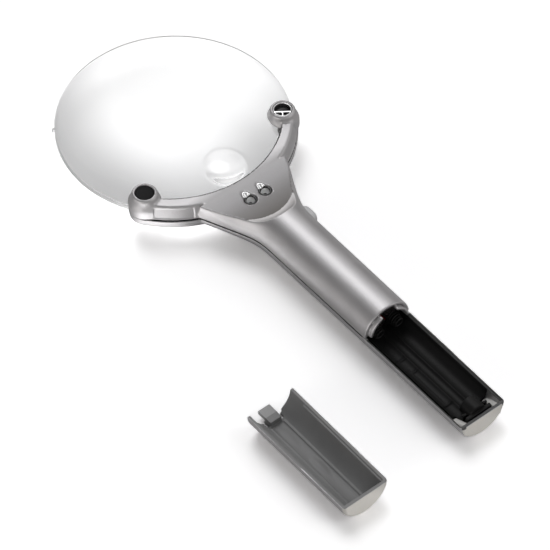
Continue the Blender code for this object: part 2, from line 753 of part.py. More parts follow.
def make_switch_button():
    face = half_width(SWITCH_X) + SWITCH_PROUD
    cap = switch_pill("cap", 9.6, face - 1.2, 0.0)
    nose = switch_pill("nose", face - 1.5, face - 0.4, -0.5)
    tip = switch_pill("tip", face - 0.6, face, -1.2)
    flange = switch_pill("flange", 9.2, 10.1, 0.9)
    return join(flange, cap, nose, tip)


def make_arm_wire(side):
    route = [(66.0, side * 5.0, -4.0), (63.0, side * 8.0, -1.5), (59.0, side * 11.6, 1.2),
             (55.8, side * 12.4, ARM_WIRE_Z - 0.2)]
    for angle in (15.5, 20.0, 26.0, 32.0, 38.0, 44.0, 49.5):
        x, y = polar(ARM_WIRE_REACH, angle)
        route.append((x, side * y, ARM_WIRE_Z))
    x, y = polar(ARM_WIRE_REACH, ARM_ANGLE - 1.2)
    route.append((x, side * y, 2.9))
    return tube("wire", smooth_route(route, 3), WIRE_RADIUS, 1)


def make_battery_wire(side):
    route = [(84.0, side * 3.0, -4.0), (92.0, side * 4.0, -5.0), (105.0, side * 6.0, -8.0),
             (125.0, side * 6.0, -9.0), (137.0, side * 4.8, -8.6), (143.0, side * 4.2, -7.6),
             (146.5, side * 4.0, -6.8)]
    return tube("wire", smooth_route(route, 4), WIRE_RADIUS, 1)


# ---------------------------------------------------------------- assembly
def main():
    clear_scene()
    silver = make_material("silver_plastic", (0.62, 0.61, 0.62), 0.32, 0.6)
    acrylic = make_material("clear_acrylic", (0.95, 0.97, 0.97), 0.05, 0.0, 0.25)
    black = make_material("black_plastic", (0.02, 0.02, 0.022), 0.45)
    grey = make_material("grey_button", (0.72, 0.72, 0.72), 0.3)
    metal = make_material("plated_metal", (0.8, 0.8, 0.78), 0.2, 1.0)
    chrome = make_material("bright_cup", (0.85, 0.85, 0.86), 0.1, 1.0)
    lamp = make_material("lamp_dome", (0.75, 0.78, 0.8), 0.08)
    smoke = make_material("smoked_lens", (0.03, 0.03, 0.035), 0.08)
    board = make_material("green_board", (0.05, 0.25, 0.1), 0.5)
    resistor = make_material("resistor", (0.6, 0.45, 0.28), 0.4)
    red = make_material("red_wire", (0.6, 0.05, 0.04), 0.45)
    dark_wire = make_material("black_wire", (0.03, 0.03, 0.03), 0.45)

    root = bpy.data.objects.new("magnifier", None)
    bpy.context.collection.objects.link(root)
    middle_y = (COVER_OFFSET_Y - handle_radius(COVER_START_X) + LENS_RADIUS) / 2
    root.location = (-(X_RANGE[0] + X_RANGE[1]) / 2 * MM, -middle_y * MM, -FLOOR_Z * MM)

    hinge = bpy.data.objects.new("cover_hinge", None)
    bpy.context.collection.objects.link(hinge)
    hinge.parent = root
    hinge.location = (0.0, COVER_OFFSET_Y / 2 * MM, SPLIT_Z * MM)
    push = bpy.data.objects.new("switch_push", None)
    bpy.context.collection.objects.link(push)
    push.parent = root

    finish(make_back_shell(), "back_shell", silver, root)
    finish(make_front_shell(), "front_shell", silver, root)
    finish(make_lens(), "main_lens", acrylic, root)
    finish(make_tray(), "battery_tray", black, root)
    cover = finish(make_cover(), "battery_cover", silver, hinge)
    cover.data.transform(Matrix.Translation((0.0, -hinge.location.y, -hinge.location.z)))
    hinge.rotation_euler = (math.radians(180.0), 0.0, 0.0)
    finish(make_switch_button(), "switch_button", grey, push)
    finish(make_switch_body(), "switch_body", black, root)
    finish(make_board(), "circuit_board", board, root)
    finish(make_pot_window(), "pot_window", smoke, root)
    finish(make_pot_lamp(-1.0, 2.5, 2.4), "pot_lamp_left", lamp, root)
    finish(make_pot_lamp(1.0, POT_BORE - GAP, 2.5), "pot_lamp_right", smoke, root)
    finish(make_retainer(), "pot_retainer", chrome, root)
    for side, word in ((1.0, "right"), (-1.0, "left")):
        finish(make_spring(side), "head_spring_" + word, metal, root)
        finish(make_tail_contact(side), "tail_contact_" + word, metal, root)
        finish(make_led(side), "centre_led_" + word, lamp, root)
        finish(make_bezel(side), "led_bezel_" + word, chrome, root)
        finish(make_resistor(side), "resistor_" + word, resistor, root)
        finish(make_arm_wire(side), "lamp_wire_" + word, dark_wire, root)
    finish(make_battery_wire(1.0), "battery_wire_positive", red, root)
    finish(make_battery_wire(-1.0), "battery_wire_negative", dark_wire, root)
    for name, x, y, seat, tip, _, _ in screw_places():
        finish(make_screw(name, x, y, seat, tip), name, metal, root)


main()
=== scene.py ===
"""Looks of the lighted hand magnifier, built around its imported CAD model.

Shapes are written in millimetres in the lens frame: the lens centre is the origin, +X runs
along the handle away from the lens and +Z is up through the lamps.  A housing shell is one
signed distance field, sampled on a grid and turned into a mesh, so its edges are rounded.
"""
import math

import bmesh
import bpy
import numpy as np
from mathutils import Matrix, Vector


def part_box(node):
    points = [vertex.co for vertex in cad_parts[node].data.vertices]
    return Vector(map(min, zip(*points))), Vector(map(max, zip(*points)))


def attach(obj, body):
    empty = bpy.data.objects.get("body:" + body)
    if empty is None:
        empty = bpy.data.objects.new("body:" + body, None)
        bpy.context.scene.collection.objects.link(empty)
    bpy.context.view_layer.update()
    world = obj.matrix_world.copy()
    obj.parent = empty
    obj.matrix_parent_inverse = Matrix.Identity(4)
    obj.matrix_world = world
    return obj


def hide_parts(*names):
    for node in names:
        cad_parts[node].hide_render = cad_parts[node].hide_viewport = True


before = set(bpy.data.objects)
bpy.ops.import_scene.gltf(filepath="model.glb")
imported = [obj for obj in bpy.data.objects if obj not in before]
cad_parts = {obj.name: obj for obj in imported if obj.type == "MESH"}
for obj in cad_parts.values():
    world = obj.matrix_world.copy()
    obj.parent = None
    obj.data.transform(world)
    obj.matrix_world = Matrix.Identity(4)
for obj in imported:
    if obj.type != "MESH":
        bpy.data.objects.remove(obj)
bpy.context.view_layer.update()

MM = 0.001
GAP = 0.3

# Lens
LENS_RADIUS = 55.0
LENS_EDGE = 2.5
LENS_SAG = 4.2
SPOT_X = 36.5
SPOT_RADIUS = 11.0
SPOT_RISE = 2.2
NUB_ANGLE = -125.0

# Housing
SPLIT_Z = -2.5
HANDLE_END_X = 217.3
HANDLE_END_RADIUS = 12.6
HANDLE_TAPER = 0.0042
TAPER_START_X = 84.0
BAY_X = 152.2
BAY_WALL = 1.25
CAVITY_RADIUS = 11.0
HEAD_TOP_Z = 5.0
HEAD_BOTTOM_Z = -8.2
FORK_INNER_RADIUS = 52.0
FORK_INNER_X = -2.8
FORK_OUTER_RADIUS = 57.3
FORK_DRAFT = 0.307
FORK_DRAFT_COSINE = 0.956
ARM_ANGLE = 53.4
POT_REACH = 50.2
POT_TOP_Z = 7.7
POT_FOOT_RADIUS = 7.2
POT_FLARE_RADIUS = 7.9
POT_FLARE_Z = 2.2
POT_LENS_SIDE_REACH = 47.5
POT_CONE = (0.988, 0.153)
POT_BORE = 4.5
POT_FLOOR_Z = 3.6
NECK_SLOPE = 0.449
NECK_START = (50.0, 25.9)
NECK_FACE_X = 50.5
FLAT_CENTRE_X = 54.7
FLAT_RADIUS = 19.9
FLAT_FILLET = 8.5
FLAT_FILLET_START = 12.0
FLAT_TANGENT = 61.2
FLAT_FRONT_X = 49.0
FLAT_HALF_WIDTH = 27.5

# Small parts
LED_X = 61.6
LED_Y = 4.25
LED_POCKET = 3.1
SCOOP_TILT = 35.0
SCOOP_RADIUS = 2.0
SWITCH_X = 80.5
SWITCH_LENGTH = 10.5
SWITCH_HEIGHT = 5.6
SWITCH_PROUD = 3.0
CELL_RADIUS = 5.3
CELL_Y = 5.4
CELL_Z = -3.2
TRAY_RADIUS = 11.0
TRAY_START_X = 147.0
TRAY_END_X = 214.6
COVER_START_X = 152.7
COVER_END_X = 217.9
COVER_WALL = 1.6
COVER_OFFSET_Y = -67.3
TAB_WIDTH = 6.4
ARM_SCREW = (51.8, 40.0)
WEB_SCREW = (68.0, 10.0)
HANDLE_SCREW_X = 118.0
SINK_RADIUS = 2.3
ARM_SEAT_Z = -6.6
WEB_SEAT_Z = -7.9
LIP_RADIUS = 10.4
LIP_HALF_WALL = 0.72
LIP_END_X = 154.4
POST_LOW = (207.5, 7.4, -9.4)
POST_HIGH = (217.0, 10.3, -3.4)
KEEL_Y = 3.6
SEAM_END_X = 150.0
SEAM_HALF = 0.42
SEAM_DEPTH = 1.3
PANEL_START = 47.5
PANEL_END = 28.6
PANEL_DEPTH = 0.36
PANEL_LOW_Z = -1.5
PANEL_HIGH_Z = 3.5

# Facets round the lens, the angle above which an edge is shaded sharp, and clear_plastic's limit
LENS_SEGMENTS = 240
SHARP_ANGLE = 40.0
DEEPEST_BEND = 1.5

# The lens centre in the row frame, from the CAD lens: its lowest point is the lower face's pole.
lens_low, lens_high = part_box("main_lens")
ORIGIN = Vector((
    (lens_low.x + lens_high.x) / 2,
    (lens_low.y + lens_high.y) / 2,
    lens_low.z + (LENS_EDGE / 2 + LENS_SAG) * MM,
))


# ---------------------------------------------------------------- numbers along the housing
def handle_radius(x):
    """Radius of the handle, which narrows slightly towards its closed end."""
    return HANDLE_END_RADIUS + HANDLE_TAPER * (HANDLE_END_X - np.maximum(x, TAPER_START_X))


def half_width(x):
    """Half width of the neck at the parting plane, easing from a straight taper into the handle."""
    radius = handle_radius(x)
    line = NECK_START[1] - NECK_SLOPE * (x - NECK_START[0])
    ease = 1.2
    return radius + ease * np.log1p(np.exp(np.minimum((line - radius) / ease, 40.0)))


def smoothstep(value, low, high):
    """Smooth rise from 0 at low to 1 at high."""
    t = np.clip((value - low) / (high - low), 0.0, 1.0)
    return t * t * (3.0 - 2.0 * t)


def lens_face(radius):
    """Height of either lens face above the lens's middle plane."""
    return LENS_EDGE / 2 + LENS_SAG * (1.0 - (radius / LENS_RADIUS) ** 2)


def polar(radius, degrees):
    """Point in the lens plane, its angle from +X towards +Y."""
    angle = math.radians(degrees)
    return radius * math.cos(angle), radius * math.sin(angle)


def distance(a, b, centre_a, centre_b):
    """Distance from a point, in the plane of two coordinates."""
    return np.sqrt((a - centre_a) ** 2 + (b - centre_b) ** 2)


def from_axis(y, z):
    """Distance from the handle's axis."""
    return distance(y, z, 0.0, SPLIT_Z)


# ---------------------------------------------------------------- distance fields
def either(a, b, blend=0.0):
    """Union of two fields, with a fillet about as wide as blend."""
    if not np.any(blend):
        return np.minimum(a, b)
    reach = np.maximum(blend - np.abs(a - b), 0.0) / blend
    return np.minimum(a, b) - reach * reach * blend / 4


def both(a, b, blend=0.0):
    """Intersection of two fields, with a rounded edge."""
    return -either(-a, -b, blend)


def minus(a, b, blend=0.0):
    """The first field with the second taken away."""
    return -either(-a, b, blend)


def slab(value, middle, half):
    """Layer that reaches half to either side of its middle."""
    return np.abs(value - middle) - half


def section(y, z, width, height, exponent):
    """Superellipse about the handle's axis."""
    ratio = (np.abs(y / width) ** exponent + np.abs(z / height) ** exponent) ** (1.0 / exponent)
    ratio = np.maximum(ratio, 0.02)
    reach = np.sqrt(y * y + z * z)
    return reach - reach / ratio


def block(x, y, z, low, high):
    """Box between two corners."""
    centre = [(a + b) / 2 for a, b in zip(low, high)]
    half = [(b - a) / 2 for a, b in zip(low, high)]
    dx, dy, dz = (np.abs(v - c) - h for v, c, h in zip((x, y, z), centre, half))
    return np.maximum(np.maximum(dx, dy), dz)


def rod(x, y, z, start, end, radius):
    """Cylinder between two points, with flat ends."""
    axis = [b - a for a, b in zip(start, end)]
    length = math.sqrt(sum(a * a for a in axis))
    unit = [a / length for a in axis]
    rel = (x - start[0], y - start[1], z - start[2])
    along = rel[0] * unit[0] + rel[1] * unit[1] + rel[2] * unit[2]
    across = rel[0] * rel[0] + rel[1] * rel[1] + rel[2] * rel[2] - along * along
    radial = np.sqrt(np.maximum(across, 0.0)) - radius
    return np.maximum(radial, np.maximum(-along, along - length))


def span(*pieces):
    """Grid lines from (start, end, step) pieces."""
    return np.concatenate([np.arange(start, end, step) for start, end, step in pieces])


def grid(xs, ys, zs):
    """Coordinates of a grid, in shapes that spread out over it."""
    return xs[:, None, None], ys[None, :, None], zs[None, None, :]


def surface(name, field, xs, ys, zs):
    """Mesh of the field's zero level: a point in each crossed cell, a quad on each crossed edge."""
    lines = (xs, ys, zs)
    field = field.copy()
    for axis in range(3):
        for end in (0, -1):
            rim = [slice(None)] * 3
            rim[axis] = end
            field[tuple(rim)] = np.maximum(field[tuple(rim)], 1e-4)
    inside = field < 0.0
    shape = tuple(n - 1 for n in field.shape)
    corners = np.zeros(shape, np.int8)
    for dx in (0, 1):
        for dy in (0, 1):
            for dz in (0, 1):
                corners += inside[dx:dx + shape[0], dy:dy + shape[1], dz:dz + shape[2]]
    active = (corners > 0) & (corners < 8)
    cells = np.argwhere(active)
    number = np.full(shape, -1, np.int64)
    number[active] = np.arange(len(cells))

    total = np.zeros((len(cells), 3))
    hits = np.zeros(len(cells))
    for axis in range(3):
        others = [a for a in range(3) if a != axis]
        for da in (0, 1):
            for db in (0, 1):
                first = cells.copy()
                first[:, others[0]] += da
                first[:, others[1]] += db
                last = first.copy()
                last[:, axis] += 1
                f0 = field[tuple(first.T)]
                f1 = field[tuple(last.T)]
                crossed = (f0 < 0.0) != (f1 < 0.0)
                t = np.where(crossed, f0 / np.where(crossed, f0 - f1, 1.0), 0.0)
                place = np.stack([lines[a][first[:, a]] for a in range(3)], axis=1)
                place[:, axis] += t * (lines[axis][last[:, axis]] - lines[axis][first[:, axis]])
                total[crossed] += place[crossed]
                hits += crossed
    points = total / hits[:, None]

    quads = []
    for axis in range(3):
        b, c = (axis + 1) % 3, (axis + 2) % 3
        low = np.moveaxis(inside, (axis, b, c), (0, 1, 2))
        ids = np.moveaxis(number, (axis, b, c), (0, 1, 2))
        start = low[:-1, 1:-1, 1:-1]
        change = np.argwhere(start != low[1:, 1:-1, 1:-1])
        i, j, k = change.T
        ring = (ids[i, j, k], ids[i, j + 1, k], ids[i, j + 1, k + 1], ids[i, j, k + 1])
        quad = np.stack(ring, axis=1)
        leaving = start[i, j, k]
        quad[~leaving] = quad[~leaving][:, ::-1]
        quads.append(quad)
    return raw_mesh(name, points, np.concatenate(quads))


# ---------------------------------------------------------------- meshes
def add_object(name, data):
    item = bpy.data.objects.new(name, data)
    bpy.context.scene.collection.objects.link(item)
    return item


def raw_mesh(name, points, faces):
    """Object from points in lens frame millimetres."""
    mesh = bpy.data.meshes.new(name)
    place = np.asarray(points, float) * MM + np.array(ORIGIN)
    mesh.from_pydata(place.tolist(), [], [tuple(face) for face in faces])
    mesh.validate()
    mesh.shade_smooth()
    return add_object(name, mesh)


def from_bmesh(name, bm):
    """Object from a bmesh in lens frame millimetres, which it frees."""
    bmesh.ops.recalc_face_normals(bm, faces=bm.faces)
    bmesh.ops.transform(bm, matrix=Matrix.Scale(MM, 4), verts=bm.verts)
    bmesh.ops.translate(bm, vec=ORIGIN, verts=bm.verts)
    mesh = bpy.data.meshes.new(name)
    bm.to_mesh(mesh)
    bm.free()
    mesh.shade_smooth()
    mesh.set_sharp_from_angle(angle=math.radians(SHARP_ANGLE))
    return add_object(name, mesh)


def turned(name, profile, segments, matrix):
    """Solid of revolution about Z; profile points are (radius, z), from pole to pole."""
    bm = bmesh.new()
    rings = []
    for radius, z in profile:
        if radius == 0.0:
            rings.append([bm.verts.new((0.0, 0.0, z))])
            continue
        angles = [2.0 * math.pi * i / segments for i in range(segments)]
        around = [(radius * math.cos(a), radius * math.sin(a), z) for a in angles]
        rings.append([bm.verts.new(place) for place in around])
    for low, high in zip(rings, rings[1:]):
        for i in range(segments):
            j = (i + 1) % segments
            if len(low) == 1:
                bm.faces.new((low[0], high[j], high[i]))
            elif len(high) == 1:
                bm.faces.new((low[i], low[j], high[0]))
            else:
                bm.faces.new((low[i], low[j], high[j], high[i]))
    bmesh.ops.transform(bm, matrix=matrix, verts=[v for ring in rings for v in ring])
    return from_bmesh(name, bm)


def arc(centre_r, centre_z, radius, first, last, steps):
    """Profile points on an arc, angles from +R towards +Z."""
    return [
        (centre_r + radius * math.cos(math.radians(first + (last - first) * i / steps)),
         centre_z + radius * math.sin(math.radians(first + (last - first) * i / steps)))
        for i in range(steps + 1)
    ]


# ---------------------------------------------------------------- housing fields
def seam_slot(body, z):
    """Dark reveal between the two shells: a narrow slot cut in from the outside."""
    return both(slab(z, SPLIT_Z, SEAM_HALF), -body - SEAM_DEPTH)


def arm_panel(x, side, z, reach, outer):
    """Shallow panel sunk in the outer wall of an arm, ending square where the neck begins."""
    end = math.radians(PANEL_END)
    past = x * math.sin(end) - side * math.cos(end)
    start = math.radians(PANEL_START)
    before = side * math.cos(start) - x * math.sin(start)
    sunk = both(outer - PANEL_DEPTH - reach, both(PANEL_LOW_Z - z, z - PANEL_HIGH_Z))
    return both(both(sunk, past, 0.2), before, 0.2)


def pot_centre():
    """Middle of the right lamp pot; the left one mirrors it."""
    return polar(POT_REACH, ARM_ANGLE)


def past_arm(x, side):
    """How far a point lies beyond the line from the lens centre through a pot."""
    angle = math.radians(ARM_ANGLE)
    return side * math.cos(angle) - x * math.sin(angle)


def fork_bore(x, y):
    """Distance from the centre of the fork's inner edge."""
    return distance(x, y, FORK_INNER_X, 0.0)


def head_air(x, side, z):
    """Space above the flat of the head: a plane whose back edge sweeps up in a round fillet."""
    tangent = math.radians(FLAT_TANGENT)
    rel = x - FLAT_CENTRE_X
    around = np.arctan2(side, rel) < tangent
    reach = np.where(around, np.sqrt(rel * rel + side * side),
                     rel * math.cos(tangent) + side * math.sin(tangent))
    reach = np.where(x < FLAT_FRONT_X, np.minimum(reach, 0.0), reach)
    start = math.radians(FLAT_FILLET_START)
    centre_r = FLAT_RADIUS - FLAT_FILLET * math.sin(start)
    centre_z = HEAD_TOP_Z + FLAT_FILLET * math.cos(start)
    dr = np.maximum(reach - centre_r, 0.0)
    dz = np.minimum(z - centre_z, 0.0)
    bowl = np.sqrt(dr * dr + dz * dz) - FLAT_FILLET
    return np.maximum(bowl, HEAD_TOP_Z - z)


def lens_space(reach, z, side):
    """Room for the lens rim past its upper or lower face."""
    face = lens_face(np.clip(reach, 40.0, LENS_RADIUS)) + GAP
    return np.maximum(reach - LENS_RADIUS - GAP / 3, side * z - face)


def switch_pill(x, z, grow):
    """Round ended outline of the switch on the neck's flank."""
    straight = (SWITCH_LENGTH - SWITCH_HEIGHT) / 2
    dx = np.maximum(np.abs(x - SWITCH_X) - straight, 0.0)
    return np.sqrt(dx * dx + (z - SPLIT_Z) ** 2) - SWITCH_HEIGHT / 2 - grow


def lamp_hollows(x, side, z):
    """Lamp pocket in the flat and the scoop that opens it towards the lens."""
    pocket = distance(x, side, LED_X, LED_Y) - LED_POCKET
    pocket = np.maximum(pocket, 1.0 - z)
    return pocket, scoop(x, side, z, SCOOP_RADIUS)


def scoop(x, side, z, radius):
    """Slanting round channel from the lamp up towards the lens."""
    tilt = math.radians(SCOOP_TILT)
    start = (LED_X, LED_Y, 3.2)
    end = (LED_X - 12.0 * math.cos(tilt), LED_Y, 3.2 + 12.0 * math.sin(tilt))
    return rod(x, side, z, start, end, radius)


def make_back_shell():
    """Upper half of the housing: fork head with its flat and pots, neck and half the handle."""
    fine = 0.4
    xs = span((21.2, 90.0, fine), (90.0, 148.0, 1.45), (148.0, 156.0, fine))
    ys = span((-49.0, 49.2, fine))
    zs = span((-3.1, -1.4, 0.2), (-1.4, 11.6, fine))
    x, y, z = grid(xs, ys, zs)
    side = np.abs(y)
    reach = np.sqrt(x * x + y * y)

    exponent = 2.0 + 2.0 * smoothstep(70.0 - x, 0.0, 18.0)
    body = section(y, z - SPLIT_Z, half_width(x), handle_radius(x), exponent)
    body = both(body, NECK_FACE_X - x)
    fork = (reach - FORK_OUTER_RADIUS + FORK_DRAFT * (z - SPLIT_Z)) * FORK_DRAFT_COSINE
    fork = both(fork, past_arm(x, side))
    fork = both(fork, z - HEAD_TOP_Z, 1.3)
    fork = both(fork, FORK_INNER_RADIUS - fork_bore(x, y), 0.3)
    body = either(body, fork, 0.5)
    body = minus(body, head_air(x, side, z), 0.4)

    around = distance(x, side, *pot_centre())
    cone = (around - POT_FOOT_RADIUS) * POT_CONE[0] + z * POT_CONE[1]
    pot = both(both(around - POT_FOOT_RADIUS, cone, 2.0), z - POT_TOP_Z, 1.3)
    flare = (around - POT_FLARE_RADIUS) * 0.8 + (z - POT_FLARE_Z) * 0.6
    pot = either(pot, both(flare, around - POT_FLARE_RADIUS, 0.8), 1.8)
    body = either(body, pot, 1.1)
    wall = FORK_OUTER_RADIUS - FORK_DRAFT * (z - SPLIT_Z)
    body = minus(body, arm_panel(x, side, z, reach, wall), 0.15)

    slot = seam_slot(body, z)
    body = both(body, SPLIT_Z + GAP / 2 - z)
    body = minus(body, slot, 0.2)
    body = minus(body, lens_space(reach, z, 1.0), 0.15)
    hollow = 5.4 + 5.6 * smoothstep(x, 72.0, 86.0)
    cavity = section(y, z - SPLIT_Z, CAVITY_RADIUS, hollow, 2.4)
    body = minus(body, both(cavity, 66.0 - x), 0.2)
    body = minus(body, np.maximum(around - POT_BORE, POT_FLOOR_Z - z), 0.5)
    pocket, groove = lamp_hollows(x, side, z)
    body = minus(minus(body, pocket, 0.3), groove, 0.3)
    window = np.maximum(switch_pill(x, z, GAP), 9.0 - y)
    body = minus(body, window, 0.5)
    body = both(body, x - BAY_X, 0.6)

    lip = np.maximum(slab(from_axis(y, z), LIP_RADIUS, LIP_HALF_WALL), slab(x, 151.4, 3.0))
    lip = both(lip, 4.0 - side, 0.8)
    lip = both(lip, SPLIT_Z + 1.0 - z, 0.8)
    body = either(body, both(lip, x - LIP_END_X, 0.8), 0.2)
    item = surface("back_shell_moulded", body, xs, ys, zs)
    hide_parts("back_shell")
    return item


def make_front_shell():
    """Lower half of the housing, with the open battery bay and the screws' sunk holes."""
    fine = 0.42
    xs = span((24.0, 90.0, fine), (90.0, 146.0, 1.4), (146.0, 154.0, fine),
              (154.0, 206.0, 1.3), (206.0, 218.2, fine))
    ys = span((-49.0, 49.3, fine))
    zs = span((-16.2, -3.6, 0.38), (-3.6, -2.1, 0.2))
    x, y, z = grid(xs, ys, zs)
    side = np.abs(y)
    reach = np.sqrt(x * x + y * y)

    exponent = 2.0 + 2.0 * smoothstep(80.0 - x, 0.0, 28.0)
    radius = handle_radius(x)
    depth = SPLIT_Z - HEAD_BOTTOM_Z
    height = depth + (radius - depth) * smoothstep(x, 58.0, 87.0)
    body = section(y, z - SPLIT_Z, half_width(x), height, exponent)
    body = both(body, NECK_FACE_X - x)
    body = both(body, x - HANDLE_END_X, 2.4)
    fork = reach - FORK_OUTER_RADIUS - 0.25
    fork = both(fork, past_arm(x, side))
    inner = FORK_INNER_RADIUS + 0.25 * np.maximum(SPLIT_Z - z, 0.0)
    fork = both(fork, inner - fork_bore(x, y), 0.5)
    around = distance(x, side, *pot_centre())
    foot = both(around - POT_FOOT_RADIUS - 0.1, POT_LENS_SIDE_REACH - reach, 1.5)
    head = either(fork, foot, 0.5)
    body = either(body, both(head, HEAD_BOTTOM_Z - z, 3.6), 0.5)
    body = both(body, HEAD_BOTTOM_Z - z - 30.0 * smoothstep(x, 56.0, 62.0))

    slot = seam_slot(body, z)
    body = both(body, z - SPLIT_Z + GAP / 2)
    body = minus(body, both(slot, x - SEAM_END_X), 0.2)
    body = minus(body, lens_space(reach, z, -1.0), 0.15)
    hollow = 4.0 + 7.0 * smoothstep(x, 66.0, 86.0)
    cavity = section(y, z - SPLIT_Z, CAVITY_RADIUS, hollow, 2.4)
    body = minus(body, both(both(cavity, 60.0 - x), x - SEAM_END_X), 0.2)
    outwards = from_axis(y, z) - HANDLE_END_RADIUS
    body = minus(body, both(outwards + BAY_WALL, slab(x, 180.8, 34.5)), 0.2)
    rebate = both(outwards + 0.65, slab(x, 184.2, 31.4))
    body = minus(body, both(rebate, SPLIT_Z - 0.95 - z), 0.15)

    post = block(x, side, z, POST_LOW, POST_HIGH)
    post = both(post, (z + 3.4 + 0.5 * (216.4 - x)) * 0.89, 0.3)
    body = either(body, post, 0.4)
    for place, seat in ((polar(*ARM_SCREW), ARM_SEAT_Z), (WEB_SCREW, WEB_SEAT_Z)):
        hole = distance(x, side, *place)
        body = minus(body, np.maximum(hole - SINK_RADIUS, z - seat), 0.3)
    hole = distance(x, y, HANDLE_SCREW_X, 0.0)
    tower = both(hole - 2.6, -z - 14.6)
    body = either(body, both(tower, z + 3.0))
    body = minus(body, np.maximum(hole - SINK_RADIUS, z + 13.7), 0.3)
    window = np.maximum(switch_pill(x, z, GAP), 9.0 - y)
    body = minus(body, window, 0.5)
    item = surface("front_shell_moulded", body, xs, ys, zs)
    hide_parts("front_shell")
    return item


def make_cover():
    """Battery cover, shaped in its closed place and then laid on its back beside the handle."""
    xs = span((147.4, 160.0, 0.25), (160.0, 214.0, 0.5), (214.0, 218.8, 0.25))
    ys = span((-13.6, 13.7, 0.25))
    zs = span((-3.0, 11.2, 0.25))
    x, y, z = grid(xs, ys, zs)
    side = np.abs(y)
    start_radius = handle_radius(COVER_START_X)
    along = (x - COVER_START_X) / (COVER_END_X - COVER_START_X)
    outer = start_radius + along * (HANDLE_END_RADIUS - start_radius)
    skin = from_axis(y, z) - outer
    body = both(skin, x - COVER_END_X, 2.4)
    body = both(body, COVER_START_X - x, 0.3)
    room = both(skin + COVER_WALL, x - COVER_END_X + 1.8, 1.0)
    body = minus(body, room, 0.2)
    rail = both(both(skin + 0.5, SPLIT_Z + 1.1 - z), z - SPLIT_Z - 2.0, 0.2)
    rail = both(minus(rail, skin + COVER_WALL + 0.75), slab(x, 189.6, 27.4), 0.3)
    body = either(body, rail, 0.15)
    keel = both(slab(side, KEEL_Y, 0.35), 7.9 - z, 0.2)
    keel = both(both(keel, skin + 0.5), slab(x, 187.5, 29.5), 0.3)
    body = either(body, keel, 0.5)
    crown = outer - COVER_WALL + SPLIT_Z + 0.3
    for middle, reach, rise in ((166.0, 9.0, 0.75), (187.0, 8.0, 0.9)):
        dome = 1.0 - ((x - middle) / reach) ** 2 - (side / 3.1) ** 2
        pad = both(both(crown - rise * dome - z, -dome), skin + 0.5)
        body = either(body, pad, 0.4)
    half = TAB_WIDTH / 2
    root = block(x, y, z, (COVER_START_X + 0.2, -half, 5.7), (157.0, half, 9.4))
    tab = block(x, y, z, (COVER_START_X - 4.5, -half, 5.7), (COVER_START_X + 1.0, half, 7.9))
    latch = either(root, tab)
    body = either(body, latch, 0.2)
    notch = block(x, side, z, (COVER_START_X - 1.0, half + 0.3, 4.0), (156.4, half + 1.5, 12.0))
    step = block(x, side, z, (COVER_START_X - 1.0, half + 1.4, 4.0), (153.7, half + 3.0, 12.0))
    body = minus(minus(body, notch, 0.2), step, 0.3)
    body = both(body, SPLIT_Z + GAP / 2 - z, 0.3)
    item = surface("battery_cover_moulded", body, xs, ys, zs)
    aside = Vector((0.0, COVER_OFFSET_Y, 2 * SPLIT_Z)) * MM
    lay = Matrix.Translation(ORIGIN) @ Matrix.Translation(aside)
    lay = lay @ Matrix.Diagonal((1.0, -1.0, -1.0, 1.0)) @ Matrix.Translation(-ORIGIN)
    item.data.transform(lay)
    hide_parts("battery_cover")
    return item


def make_tray():
    """Black liner of the bay: two cell troughs, the ridge between them and the end block."""
    xs = span((146.4, 154.0, 0.5), (154.0, 206.0, 0.4), (206.0, 215.4, 0.25))
    ys = span((-11.8, 11.9, 0.25))
    zs = span((-14.2, -0.2, 0.25))
    x, y, z = grid(xs, ys, zs)
    side = np.abs(y)
    body = both(from_axis(y, z) - TRAY_RADIUS, z - SPLIT_Z + 0.5, 0.3)
    middle, half = (TRAY_START_X + TRAY_END_X) / 2, (TRAY_END_X - TRAY_START_X) / 2
    body = both(body, slab(x, middle, half), 0.3)
    trough = distance(side, z, CELL_Y, CELL_Z) - CELL_RADIUS
    body = minus(body, both(trough, slab(x, 180.6, 32.2)), 0.2)
    ridge = np.maximum(side - 1.1, -4.7 - z)
    body = minus(body, both(ridge, slab(x, 177.0, 29.0)), 0.3)
    step = both(slab(x, 187.0, 13.0), slab(y, -7.6, 1.9))
    step = both(both(step, -trough - 0.45), trough - 0.3, 0.2)
    body = either(body, step, 0.2)
    for bar_x in (168.0, 176.5, 199.5):
        bar = both(slab(x, bar_x, 0.5), both(-trough - 0.5, trough - 0.3))
        body = either(body, both(bar, slab(y, -6.2, 3.6), 0.2), 0.2)
    corner = block(x, side, z, (207.0, 6.9, -16.0), (220.0, 12.0, -2.0))
    body = minus(body, corner, 0.2)
    arch = distance(y, z, 0.0, -5.0) - 4.6
    arch = both(both(arch, slab(x, 209.8, 3.6), 0.5), -7.0 - z)
    body = either(body, arch, 0.3)
    niche = both(distance(y, z, 0.0, -5.4) - 3.2, x - 208.4)
    body = minus(body, niche, 0.3)
    item = surface("battery_tray_moulded", body, xs, ys, zs)
    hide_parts("battery_tray")
    return item


